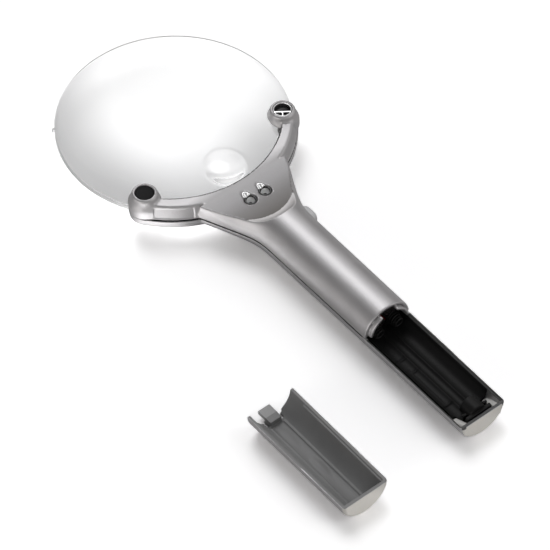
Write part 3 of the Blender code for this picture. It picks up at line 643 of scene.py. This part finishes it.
# ---------------------------------------------------------------- lens
def make_lens():
    """Lens in rings from the top pole to the bottom one, with the spot lens raised on top."""
    rim = arc(LENS_RADIUS - 0.6, LENS_EDGE / 2 - 0.6, 0.6, 90.0, 0.0, 4)
    radii = list(np.linspace(0.0, LENS_RADIUS - 0.6, 62))[:-1]
    top = [(r, lens_face(r), True) for r in radii] + [(r, z, False) for r, z in rim]
    bottom = [(r, -z, False) for r, z in reversed(rim)]
    bottom += [(r, -lens_face(r), False) for r in radii[::-2]]
    peak = lens_face(SPOT_X) + SPOT_RISE
    depth = SPOT_RISE + 1.6
    points = []
    faces = []
    rings = []
    for radius, height, domed in top + bottom:
        if radius < 1e-6:
            rings.append([len(points)])
            points.append((0.0, 0.0, height))
            continue
        ring = []
        for i in range(LENS_SEGMENTS):
            angle = 2.0 * math.pi * i / LENS_SEGMENTS
            x = radius * math.cos(angle)
            y = radius * math.sin(angle)
            z = height
            off = math.hypot(x - SPOT_X, y) / SPOT_RADIUS
            if domed and off < 1.0:
                dome = peak - depth + depth * math.sqrt(1.0 - off * off)
                z = -float(either(np.array(-height), np.array(-dome), 0.5))
            ring.append(len(points))
            points.append((x, y, z))
        rings.append(ring)
    for low, high in zip(rings, rings[1:]):
        for i in range(LENS_SEGMENTS):
            j = (i + 1) % LENS_SEGMENTS
            if len(low) == 1:
                faces.append((low[0], high[i], high[j]))
            elif len(high) == 1:
                faces.append((low[i], high[0], low[j]))
            else:
                faces.append((low[i], high[i], high[j], low[j]))
    item = raw_mesh("main_lens_clear", points, faces)
    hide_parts("main_lens")
    return item


def make_nub():
    x, y = polar(LENS_RADIUS + 0.35, NUB_ANGLE)
    profile = [(0.0, -0.8), (0.7, -0.8), (0.9, -0.6), (0.9, 0.6), (0.7, 0.8), (0.0, 0.8)]
    return turned("lens_gate_mark", profile, 24, Matrix.Translation((x, y, 0.0)))


# ---------------------------------------------------------------- lamps and small parts
def make_led(side, word):
    """Clear dome of a lamp, with the white cup and the dark die inside it."""
    place = Matrix.Translation((LED_X, side * LED_Y, 0.0))
    dome = [(0.0, 1.4), (2.0, 1.4), (2.0, 3.5)] + arc(0.0, 3.5, 2.0, 6.0, 84.0, 10) + [(0.0, 5.5)]
    item = turned("centre_led_dome_" + word, dome, 40, place)
    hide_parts("centre_led_" + word)
    cup = [(0.0, 2.3), (0.6, 2.35), (1.75, 3.1), (1.9, 3.1), (1.9, 1.8), (0.0, 1.8)]
    die = [(0.0, 2.2), (0.5, 2.2), (0.5, 2.7), (0.0, 2.75)]
    cup = turned("led_cup_" + word, cup, 32, place)
    return item, cup, turned("led_die_" + word, die, 16, place)


def make_bezel(side, word):
    """Bright cup round the lamp, with a scoop that throws its light at the lens."""
    step = 0.16
    xs = span((53.6, 65.4, step))
    ys = span((side * LED_Y - 3.4, side * LED_Y + 3.5, step))
    zs = span((0.8, 5.6, step))
    x, y, z = grid(xs, ys, zs)
    across = side * y
    around = distance(x, across, LED_X, LED_Y)
    cup = np.maximum(slab(around, 2.5, 0.32), slab(z, 2.9, 1.9))
    liner = scoop(x, across, z, SCOOP_RADIUS - 0.12)
    liner = minus(liner, scoop(x, across, z, SCOOP_RADIUS - 0.62))
    liner = both(liner, z - HEAD_TOP_Z + 0.05, 0.2)
    body = minus(either(cup, liner, 0.2), around - 2.15, 0.1)
    body = minus(body, both(scoop(x, across, z, SCOOP_RADIUS - 0.62), x - LED_X + 1.0))
    item = surface("led_reflector_" + word, body, xs, ys, zs)
    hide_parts("led_bezel_" + word)
    return item


def make_pot_window():
    x, y = pot_centre()
    radius = POT_BORE - GAP
    edge = arc(radius - 0.25, 7.0, 0.25, 0.0, 90.0, 4)
    profile = [(0.0, 6.4), (radius, 6.4)] + edge + [(0.0, 7.2)]
    item = turned("pot_window_smoked", profile, 64, Matrix.Translation((x, -y, 0.0)))
    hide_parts("pot_window")
    return item


def make_pot_dome():
    x, y = pot_centre()
    radius = POT_BORE - GAP
    profile = [(0.0, POT_FLOOR_Z + GAP), (radius, POT_FLOOR_Z + GAP), (radius, 4.6)]
    profile += [(radius * math.cos(math.radians(a)), 4.6 + 1.75 * math.sin(math.radians(a)))
                for a in range(8, 90, 8)]
    profile.append((0.0, 6.35))
    item = turned("pot_lamp_dome_right", profile, 64, Matrix.Translation((x, y, 0.0)))
    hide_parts("pot_lamp_right")
    return item


def make_retainer():
    """T shaped clip over the right lamp: a bar across the bore and a leg towards the arm."""
    px, py = pot_centre()
    step = 0.14
    reach = POT_BORE - 0.15
    xs = span((px - 4.9, px + 5.0, step))
    ys = span((py - 4.9, py + 5.0, step))
    zs = span((6.4, 7.8, step))
    x, y, z = grid(xs, ys, zs)
    angle = math.radians(ARM_ANGLE)
    along = (x - px) * math.cos(angle) + (y - py) * math.sin(angle)
    across = -(x - px) * math.sin(angle) + (y - py) * math.cos(angle)
    bar = np.maximum(slab(across, -1.45, 0.5), slab(along, 0.0, 6.0))
    leg = np.maximum(slab(along, 0.0, 0.5), across + 1.2)
    ring = np.abs(np.sqrt(along ** 2 + across ** 2) - reach + 0.25) - 0.3
    body = either(either(bar, leg, 0.5), ring, 0.4)
    body = both(body, np.sqrt(along ** 2 + across ** 2) - reach)
    body = both(body, slab(z, 7.05, 0.4), 0.4)
    item = surface("pot_retainer_clip", body, xs, ys, zs)
    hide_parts("pot_retainer")
    return item


def make_button():
    """Push button with a crowned, ribbed face and a hidden flange."""
    face = float(half_width(SWITCH_X)) + SWITCH_PROUD
    step = 0.2
    xs = span((73.8, 87.4, step))
    ys = span((8.8, face + 0.5, step))
    zs = span((-6.6, 1.7, step))
    x, y, z = grid(xs, ys, zs)
    crown = face - 0.03 * (x - SWITCH_X) ** 2
    body = both(both(switch_pill(x, z, 0.0), y - crown, 2.2), 9.6 - y)
    flange = np.maximum(switch_pill(x, z, 0.9), slab(y, 9.65, 0.45))
    for i in range(-2, 3):
        groove = np.sqrt((x - SWITCH_X - 1.5 * i) ** 2 + (y - face - 0.05) ** 2) - 0.35
        body = minus(body, groove, 0.15)
    item = surface("switch_button_moulded", either(body, flange), xs, ys, zs)
    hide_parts("switch_button")
    return item


def make_tail_contact(side, word):
    """Sprung plate at the closed end of the bay."""
    bm = bmesh.new()
    width = (side * 4.9, side * 6.8)
    line = [(211.5, -7.6), (211.5, -3.6), (211.1, -3.3), (210.6, -3.6), (210.2, -5.0),
            (209.9, -5.6), (209.4, -5.4)]
    thick = 0.22
    rows = []
    for y in width:
        rows.append([bm.verts.new((x, y, z)) for x, z in line])
        rows.append([bm.verts.new((x - thick, y, z)) for x, z in line])
    for i in range(len(line) - 1):
        bm.faces.new((rows[0][i], rows[0][i + 1], rows[2][i + 1], rows[2][i]))
        bm.faces.new((rows[1][i], rows[3][i], rows[3][i + 1], rows[1][i + 1]))
        bm.faces.new((rows[0][i], rows[1][i], rows[1][i + 1], rows[0][i + 1]))
        bm.faces.new((rows[2][i], rows[2][i + 1], rows[3][i + 1], rows[3][i]))
    for end in (0, -1):
        bm.faces.new((rows[0][end], rows[2][end], rows[3][end], rows[1][end]))
    item = from_bmesh("tail_contact_plate_" + word, bm)
    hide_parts("tail_contact_" + word)
    return item


# ---------------------------------------------------------------- materials
def connect(tree, node, inputs):
    """Links an output to each input named, or sets it to a plain value."""
    for name, value in inputs.items():
        if isinstance(value, bpy.types.NodeSocket):
            tree.links.new(value, node.inputs[name])
        else:
            node.inputs[name].default_value = value
    return node


def add_node(tree, kind, inputs=None, **settings):
    node = tree.nodes.new("ShaderNode" + kind)
    for name, value in settings.items():
        setattr(node, name, value)
    return connect(tree, node, inputs or {})


def new_material(name):
    material = bpy.data.materials.new(name)
    material.use_nodes = True
    tree = material.node_tree
    tree.nodes.clear()
    shader = add_node(tree, "BsdfPrincipled")
    add_node(tree, "OutputMaterial", {"Surface": shader.outputs[0]})
    return material, tree, shader


def coordinates(tree, kind="Object"):
    return add_node(tree, "TexCoord").outputs[kind]


def calculated(tree, operation, *values):
    return add_node(tree, "Math", dict(enumerate(values)), operation=operation).outputs[0]


def summed(tree, values):
    result = values[0]
    for value in values[1:]:
        result = calculated(tree, "ADD", result, value)
    return result


def mixed(tree, factor, first, second):
    return add_node(tree, "Mix", {"Factor": factor, "A": first, "B": second}).outputs["Result"]


def soft_step(tree, source, low, high, top):
    """Smooth rise from 0 where the source is low to top where it is high."""
    inputs = {"Value": source, "From Min": low, "From Max": high, "To Max": top}
    node = add_node(tree, "MapRange", inputs, interpolation_type="SMOOTHSTEP")
    return node.outputs["Result"]


def noise(tree, scale, detail, roughness=0.5):
    """Mottle fixed to the object; its cells are about a metre over scale."""
    inputs = {"Vector": coordinates(tree), "Scale": scale, "Detail": detail, "Roughness": roughness}
    return add_node(tree, "TexNoise", inputs).outputs["Fac"]


def ramp(tree, source, low, high, start, end):
    """Colour ramp between two colours."""
    node = add_node(tree, "ValToRGB", {"Fac": source})
    first, last = node.color_ramp.elements
    first.position, last.position = start, end
    first.color = (*low, 1.0)
    last.color = (*high, 1.0)
    return node.outputs["Color"]


def spread(tree, source, low, high):
    """Source from 0 to 1, spread over another range."""
    inputs = {"Value": source, "To Min": low, "To Max": high}
    return add_node(tree, "MapRange", inputs).outputs["Result"]


def bump(tree, source, height, strength):
    inputs = {"Height": source, "Distance": height, "Strength": strength}
    return add_node(tree, "Bump", inputs).outputs["Normal"]


def faded(tree, colour, stops):
    """Colour times a factor that changes along the part, to paint shade there; stops are (x in mm,
    factor).
    """
    first, last = stops[0][0], stops[-1][0]
    split = add_node(tree, "SeparateXYZ", {0: coordinates(tree)})
    along = add_node(tree, "MapRange", {
        "Value": split.outputs["X"],
        "From Min": ORIGIN.x + first * MM,
        "From Max": ORIGIN.x + last * MM,
    })
    curve = add_node(tree, "ValToRGB", {"Fac": along.outputs["Result"]})
    elements = curve.color_ramp.elements
    for place, tint in stops[1:-1]:
        elements.new((place - first) / (last - first))
    for element, (place, tint) in zip(elements, stops):
        element.position = (place - first) / (last - first)
        element.color = (*tint, 1.0)
    inputs = {"Factor": 1.0, "A": colour, "B": curve.outputs["Color"]}
    mix = add_node(tree, "Mix", inputs, data_type="RGBA", blend_type="MULTIPLY")
    return mix.outputs["Result"]


def silver_paint(name, tone, roughness, metallic=0.9, fade=None):
    """Metallic lacquer on moulded plastic: flake sparkle, faint orange peel, and a fade of painted
    shade if given.
    """
    material, tree, shader = new_material(name)
    flakes = add_node(tree, "TexVoronoi", {"Vector": coordinates(tree), "Scale": 6000.0})
    cloud = noise(tree, 90.0, 4.0)
    sparkle = calculated(tree, "MULTIPLY_ADD", flakes.outputs["Color"], 0.5, cloud)
    dark = tuple(c * 0.93 for c in tone)
    light = tuple(min(1.0, c * 1.07) for c in tone)
    colour = ramp(tree, sparkle, dark, light, 0.3, 1.1)
    connect(tree, shader, {
        "Base Color": faded(tree, colour, fade) if fade else colour,
        "Roughness": spread(tree, cloud, roughness - 0.03, roughness + 0.03),
        "Metallic": metallic,
        "Coat Weight": 0.12,
        "Coat Roughness": 0.12,
        "Normal": bump(tree, noise(tree, 900.0, 2.0), 0.00003, 0.25),
    })
    return material


def moulded(name, low, high, roughness, gloss=0.5):
    """Plain moulded plastic with fine spark grain and slight flow marks."""
    material, tree, shader = new_material(name)
    fine = noise(tree, 1600.0, 2.0)
    connect(tree, shader, {
        "Base Color": ramp(tree, noise(tree, 60.0, 4.0), low, high, 0.3, 0.7),
        "Roughness": spread(tree, fine, roughness - 0.05, roughness + 0.08),
        "Specular IOR Level": gloss,
        "Normal": bump(tree, fine, 0.00004, 0.5),
    })
    return material


def grey(name, low, high, roughness, gloss=0.5):
    return moulded(name, (low, low, low), (high, high, high), roughness, gloss)


def plated(name, tone, roughness):
    """Bare or plated metal with uneven polish."""
    material, tree, shader = new_material(name)
    cloud = noise(tree, 700.0, 3.0)
    dark = tuple(c * 0.85 for c in tone)
    connect(tree, shader, {
        "Base Color": ramp(tree, cloud, dark, tone, 0.3, 0.7),
        "Roughness": spread(tree, cloud, roughness * 0.6, roughness * 1.6),
        "Metallic": 1.0,
        "Normal": bump(tree, cloud, 0.00002, 0.3),
    })
    return material


def clear_plastic(name, tint, lets_through, roughness=0.01, ior=1.49):
    """Polished clear plastic.  It lets light through to the shadows, and a ray already bent more
    often than DEEPEST_BEND goes straight out, because it would otherwise be lost inside."""
    material, tree, shader = new_material(name)
    handling = noise(tree, 45.0, 5.0, 0.6)
    connect(tree, shader, {
        "Base Color": (*tint, 1.0),
        "Transmission Weight": 1.0,
        "IOR": ior,
        "Roughness": spread(tree, handling, roughness, roughness * 2.0),
    })
    through = add_node(tree, "BsdfTransparent", {"Color": (*lets_through, 1.0)})
    path = add_node(tree, "LightPath").outputs
    deep = calculated(tree, "GREATER_THAN", path["Ray Depth"], DEEPEST_BEND)
    straight = calculated(tree, "MAXIMUM", path["Is Shadow Ray"], deep)
    mix = add_node(tree, "MixShader", {0: straight, 1: shader.outputs[0], 2: through.outputs[0]})
    connect(tree, tree.nodes["Material Output"], {"Surface": mix.outputs[0]})
    return material


def dress(item, material, body="magnifier"):
    """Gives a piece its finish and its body."""
    item.data.materials.clear()
    item.data.materials.append(material)
    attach(item, body)
    return item


def second_finish(item, material, chosen):
    """Gives another material to the faces for which chosen(x, y, z, up) holds, in lens frame mm."""
    mesh = item.data
    count = len(mesh.polygons)
    centre = np.empty(count * 3, np.float32)
    normal = np.empty(count * 3, np.float32)
    mesh.polygons.foreach_get("center", centre)
    mesh.polygons.foreach_get("normal", normal)
    place = (centre.reshape(-1, 3).astype(float) - np.array(ORIGIN)) / MM
    mask = chosen(place[:, 0], place[:, 1], place[:, 2], normal.reshape(-1, 3)[:, 2])
    mesh.materials.append(material)
    index = np.empty(count, np.int32)
    mesh.polygons.foreach_get("material_index", index)
    index[mask] = len(mesh.materials) - 1
    mesh.polygons.foreach_set("material_index", index)


# ---------------------------------------------------------------- stage
# Camera, in mm from the lens centre
FOCAL = 255.3
CAMERA_PLACE = Vector((963.904, -727.322, 1336.602))
CAMERA_RIGHT = Vector((0.63276, 0.77435, 0.0))
CAMERA_UP = Vector((-0.59446, 0.48576, 0.64082))
# Floor tones for direct sight and for reflections, then soft patches that only reflections show,
# painted light where strength is above zero and painted shade where it is below:
# centre in mm from the lens centre, full to this radius, gone at this one, strength
FLOOR_SEEN = 1.72
FLOOR_REFLECTED = 0.62
FLOOR_PAINTED_PATCHES = (
    ((62.0, -72.0), 14.0, 34.0, 3.2),
    ((44.0, -50.0), 8.0, 26.0, 2.4),
    ((224.0, -2.0), 8.0, 20.0, 0.7),
    ((226.0, -67.0), 8.0, 20.0, 0.9),
    ((100.0, -38.0), 6.0, 24.0, -0.34),
    ((126.0, -38.0), 6.0, 24.0, -0.34),
    ((152.0, -38.0), 6.0, 24.0, -0.3),
)
# Floor as the clear plastic shows it, with the lens's shadow painted in: a bright middle and far
# field with a greyer ring of painted shade between, all of it times LENS_GAIN, and one patch of
# painted light for the spot lens
LENS_SHADE = ((-25.0, 21.0), 26.0, 64.0, 0.62)
LENS_SHADE_END = (85.0, 130.0)
LENS_GAIN = 1.15
SPOT_PAINTED_LIGHT = ((25.0, 8.0), 2.0, 8.5, 0.8)
# World light: direction, full to this angle, gone at this one, strength
STUDIO_BASE = 0.08
STUDIO_WARM = (1.0, 0.975, 0.955)
STUDIO_COOL = (0.99, 0.99, 1.0)
STUDIO_GLOWS = (
    ((-0.46, 0.15, 0.87), 6.0, 22.0, 3.3),
    ((-0.48, 0.48, 0.73), 5.0, 32.0, 0.55),
    ((-0.87, 0.42, 0.25), 8.0, 32.0, 1.1),
    ((0.15, -0.98, 0.06), 8.0, 34.0, 2.3),
    ((0.54, 0.4, 0.72), 4.0, 18.0, 1.2),
    ((-0.5, -0.86, 0.1), 4.0, 22.0, 0.25),
    ((0.9, -0.1, 0.3), 10.0, 50.0, 0.3),
    ((0.5, 0.85, 0.15), 15.0, 54.0, 0.5),
    ((0.42, 0.65, 0.64), 12.0, 45.0, 0.16),
    ((0.6, -0.62, 0.5), 10.0, 40.0, 0.16),
)


def make_camera():
    data = bpy.data.cameras.new("camera")
    data.lens = FOCAL
    data.sensor_width = 36.0
    data.clip_start = 0.05
    data.clip_end = 20.0
    camera = add_object("camera", data)
    back = CAMERA_RIGHT.cross(CAMERA_UP)
    turn = Matrix((CAMERA_RIGHT, CAMERA_UP, back)).transposed()
    camera.matrix_world = Matrix.Translation(CAMERA_PLACE * MM + ORIGIN) @ turn.to_4x4()
    bpy.context.scene.camera = camera


def glow(tree, direction, inner, outer, strength):
    """Soft round patch of light in the studio, angles in degrees from its middle."""
    inputs = {0: coordinates(tree, "Generated"), 1: Vector(direction).normalized()}
    dot = add_node(tree, "VectorMath", inputs, operation="DOT_PRODUCT")
    low, high = (math.cos(math.radians(angle)) for angle in (outer, inner))
    return soft_step(tree, dot.outputs["Value"], low, high, strength)


def floor_patch(tree, centre, inner, outer, gain):
    """Soft round patch of the floor, lighter or darker by gain: painted light above zero, painted
    shade below.
    """
    place = (ORIGIN.x + centre[0] * MM, ORIGIN.y + centre[1] * MM, 0.0)
    inputs = {0: coordinates(tree), 1: place}
    away = add_node(tree, "VectorMath", inputs, operation="DISTANCE")
    return soft_step(tree, away.outputs["Value"], outer * MM, inner * MM, gain)


def make_floor():
    """Plain pale sheet, with its own tone for direct sight, reflections and clear plastic,
    and soft patches of painted light and painted shade.
    """
    bm = bmesh.new()
    bmesh.ops.create_grid(bm, x_segments=2, y_segments=2, size=4.0)
    mesh = bpy.data.meshes.new("floor")
    bm.to_mesh(mesh)
    bm.free()
    floor = add_object("floor", mesh)
    material, tree, shader = new_material("floor_paper")
    path = add_node(tree, "LightPath").outputs
    # patches of painted light and painted shade that only reflections show
    painted_patches = [floor_patch(tree, *card) for card in FLOOR_PAINTED_PATCHES]
    reflected = summed(tree, painted_patches + [FLOOR_REFLECTED])
    direct = mixed(tree, path["Is Camera Ray"], reflected, FLOOR_SEEN)
    centre, inner, outer, depth = LENS_SHADE
    near, far = LENS_SHADE_END
    full = FLOOR_SEEN * LENS_GAIN
    # painted shade for the lens's shadow, and painted light under the spot lens
    shaded = summed(tree, [
        floor_patch(tree, centre, inner, outer, depth * full),
        floor_patch(tree, centre, far, near, depth * full),
        floor_patch(tree, *SPOT_PAINTED_LIGHT),
        (1.0 - depth) * full,
    ])
    connect(tree, shader, {
        "Base Color": mixed(tree, path["Is Transmission Ray"], direct, shaded),
        "Roughness": 0.9,
        "Specular IOR Level": 0.0,
    })
    mesh.materials.append(material)


def make_world():
    """Dim studio lit by the soft glows, a little warmer low down than overhead."""
    world = bpy.data.worlds.new("studio")
    world.use_nodes = True
    tree = world.node_tree
    glows = [glow(tree, *patch) for patch in STUDIO_GLOWS]
    split = add_node(tree, "SeparateXYZ", {0: coordinates(tree, "Generated")})
    connect(tree, tree.nodes["Background"], {
        "Strength": summed(tree, glows + [STUDIO_BASE]),
        "Color": ramp(tree, split.outputs["Z"], STUDIO_WARM, STUDIO_COOL, 0.2, 0.7),
    })
    bpy.context.scene.world = world


def make_stage():
    make_camera()
    make_floor()
    make_world()
    bpy.context.scene.view_settings.view_transform = "Standard"


# ---------------------------------------------------------------- assembly
# Painted shade on the flat of the head, darker towards the handle: x in mm, factor on the colour
FLAT_PAINTED_SHADE_STOPS = (
    (45.0, (1.0, 1.0, 1.0)),
    (49.5, (0.64, 0.64, 0.64)),
    (58.0, (0.52, 0.52, 0.52)),
    (66.0, (0.34, 0.335, 0.33)),
    (74.0, (0.22, 0.212, 0.20)),
)


def on_flat(x, y, z, up):
    """Flat of the head, which gets painted shade."""
    return (np.abs(z - HEAD_TOP_Z) < 0.2) & (up > 0.97) & (np.abs(y) < FLAT_HALF_WIDTH)


def on_end(x, y, z, up):
    """Closed end face, without the edges that face up; it gets a lighter silver as painted light.
    """
    return (x > HANDLE_END_X - 0.6) & (up < 0.5)


def on_lens_edge(x, y, z, up):
    """Ground cylinder of the lens's edge."""
    return (np.hypot(x, y) > LENS_RADIUS - 0.12) & (np.abs(z) < LENS_EDGE / 2 - 0.12)


def on_rim(x, y, z, up):
    """Edge that the cover closes on, and the ledge inside it, given dark grey."""
    around = np.hypot(y, z - SPLIT_Z)
    top = (z > SPLIT_Z - 0.6) & (up > 0.8)
    ledge = (z > SPLIT_Z - 1.4) & (around < HANDLE_END_RADIUS - 0.5) & (np.abs(y) > 10.3)
    return (x > BAY_X + 0.6) & (top | ledge)


def on_post(x, y, z, up):
    """Corner posts at the closed end of the bay, given a pale tone: partly their own paler paint,
    partly painted light where they face the lamp.
    """
    around = np.hypot(y, z - SPLIT_Z)
    near = (x > 207.0) & (x < 216.3) & (around < TRAY_RADIUS)
    middle = (POST_LOW[1] + POST_HIGH[1]) / 2
    high = (z > POST_LOW[2] - 0.2) & (z < POST_HIGH[2] + 0.2)
    return near & (np.abs(np.abs(y) - middle) < 1.6) & high


def on_tab(x, y, z, up):
    """Snap tab of the cover as it lies on its back, given a lighter grey as painted light."""
    return (x < COVER_START_X + 0.8) & (np.abs(y - COVER_OFFSET_Y) < TAB_WIDTH / 2 + 0.2)


def from_pot(x, y):
    """Distance from the middle of the nearer pot."""
    px, py = pot_centre()
    return np.hypot(x - px, np.abs(y) - py)


def on_inner_edge(x, y, z, up):
    """Edge of the fork against the lens, clear of the pots, painted dark as shade."""
    inner = np.hypot(x - FORK_INNER_X, y) < FORK_INNER_RADIUS + 0.62
    return inner & (from_pot(x, y) > POT_FOOT_RADIUS + 1.2) & (z > 1.0)


def in_seam(x, y, z, up):
    """Faces inside the slot between the shells, away from the outer surface, painted dark as shade.
    """
    reach = np.hypot(x, y)
    neck = x > NECK_FACE_X
    head_depth = np.maximum(FORK_OUTER_RADIUS - reach, POT_FLARE_RADIUS - from_pot(x, y))
    depth = np.where(neck, half_width(x) - np.abs(y), head_depth)
    clear = neck | (reach > LENS_RADIUS - 0.5)
    return (np.abs(z - SPLIT_Z) < SEAM_HALF + 0.15) & (depth > 0.25) & (x < SEAM_END_X) & clear


def outside_cover(x, y, z, up):
    """Outer faces of the cover as it lies on its back."""
    around = np.hypot(y - COVER_OFFSET_Y, z - SPLIT_Z)
    skin = handle_radius(COVER_START_X) - 0.25
    return (around > skin - 0.006 * (x - COVER_START_X)) | (x > COVER_END_X - 0.35)


def in_cup(x, y, z, up):
    """Inside of the lamp cup, painted darker than the scoop as shade."""
    return np.hypot(x - LED_X, np.abs(y) - LED_Y) < 2.95


def main():
    make_stage()
    silver = silver_paint("silver_lacquer", (0.55, 0.54, 0.545), 0.48)
    # painted shade: a copy of the silver that darkens along the flat of the head
    flat_painted_shade = silver_paint("silver_flat_painted_shade", (0.55, 0.54, 0.545), 0.48, fade=FLAT_PAINTED_SHADE_STOPS)
    # painted light: a lighter, warmer copy of the silver for the end faces, which the lamps leave
    # dim
    end_painted_light = silver_paint("silver_end_painted_light", (0.72, 0.70, 0.66), 0.5, 0.7)
    # painted shade: near black for the slot between the shells and the fork's edge against the lens
    painted_shade_dark = grey("painted_shade_edge", 0.012, 0.02, 0.6)
    cover_grey = grey("cover_grey", 0.20, 0.24, 0.45)
    black = grey("tray_black", 0.004, 0.009, 0.5, gloss=0.2)
    button = moulded("button_pale", (0.55, 0.55, 0.56), (0.62, 0.62, 0.63), 0.22)
    smoked = moulded("smoked_polish", (0.004, 0.004, 0.005), (0.008, 0.008, 0.01), 0.08)
    disc_black = moulded("disc_black", (0.006,) * 3, (0.012, 0.012, 0.013), 0.5, gloss=0.12)
    # painted shade: a dark metal for the lamp cup's ring, which sits in the shade of its pocket
    cup_shade_chrome = plated("cup_painted_shade", (0.10, 0.10, 0.10), 0.2)
    board = moulded("solder_mask", (0.01, 0.09, 0.03), (0.015, 0.13, 0.045), 0.35)
    ceramic = moulded("resistor_body", (0.45, 0.3, 0.15), (0.55, 0.4, 0.22), 0.4)
    red = moulded("red_insulation", (0.45, 0.02, 0.015), (0.55, 0.03, 0.02), 0.35)
    dark = grey("black_insulation", 0.015, 0.03, 0.4)
    bright = plated("bright_plate", (0.88, 0.88, 0.88), 0.1)
    # painted shade: near black steel, so the springs and contacts sink into the shade of the bay
    shaded_steel = plated("steel_painted_shade", (0.035, 0.035, 0.035), 0.5)
    # the lamp cup is white partly as its own colour and partly as a painted highlight for the
    # lamp's bright centre
    cup_white_and_highlight = moulded("lamp_white", (0.86, 0.86, 0.84), (0.92, 0.92, 0.9), 0.3)
    rim_grey = grey("rim_grey", 0.05, 0.075, 0.45)
    # partly painted light: the corner posts are pale partly as their own paint, partly for the lamp
    # they face
    pale = moulded("post_painted_light", (0.62, 0.61, 0.59), (0.72, 0.71, 0.69), 0.45)
    # painted light: a lighter grey for the cover's tab, which catches the lamp
    tab_painted_light = grey("tab_painted_light", 0.34, 0.40, 0.45)
    mirror = plated("reflector_plate", (0.97, 0.97, 0.97), 0.22)
    acrylic = clear_plastic("lens_acrylic", (0.985, 0.99, 0.99), (0.88, 0.88, 0.88))
    ground = moulded("ground_edge", (0.80, 0.81, 0.81), (0.90, 0.91, 0.91), 0.5)
    led_clear = clear_plastic("led_epoxy", (0.95, 0.96, 0.98), (0.9, 0.9, 0.9), 0.02, 1.5)

    back = dress(make_back_shell(), silver)
    # the flat of the head gets painted shade, darker towards the handle
    second_finish(back, flat_painted_shade, on_flat)
    second_finish(back, painted_shade_dark, in_seam)
    second_finish(back, painted_shade_dark, on_inner_edge)
    front = dress(make_front_shell(), silver)
    second_finish(front, painted_shade_dark, in_seam)
    second_finish(front, end_painted_light, on_end)
    second_finish(front, rim_grey, on_rim)
    second_finish(front, pale, on_post)
    cover = dress(make_cover(), cover_grey, "cover")
    second_finish(cover, silver, outside_cover)
    second_finish(cover, end_painted_light, on_end)
    second_finish(cover, tab_painted_light, on_tab)
    dress(make_tray(), black)
    lens = dress(make_lens(), acrylic)
    second_finish(lens, ground, on_lens_edge)
    dress(make_nub(), acrylic)
    dress(make_pot_window(), disc_black)
    dress(make_pot_dome(), smoked)
    dress(make_retainer(), bright)
    dress(make_button(), button, "button")
    for side, word in ((1.0, "right"), (-1.0, "left")):
        led, cup, die = make_led(side, word)
        dress(led, led_clear)
        dress(cup, cup_white_and_highlight)
        dress(die, smoked)
        bezel = dress(make_bezel(side, word), mirror)
        second_finish(bezel, cup_shade_chrome, in_cup)
        dress(make_tail_contact(side, word), shaded_steel)

    kept = {
        "circuit_board": board, "switch_body": black, "pot_lamp_left": led_clear,
        "battery_wire_positive": red, "battery_wire_negative": dark, "handle_screw": shaded_steel,
    }
    for word in ("left", "right"):
        kept["resistor_" + word] = ceramic
        kept["lamp_wire_" + word] = dark
        kept["head_spring_" + word] = shaded_steel
        kept["arm_screw_" + word] = shaded_steel
        kept["web_screw_" + word] = shaded_steel
    for node, material in kept.items():
        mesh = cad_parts[node].data
        mesh.materials.clear()
        mesh.materials.append(material)


main()
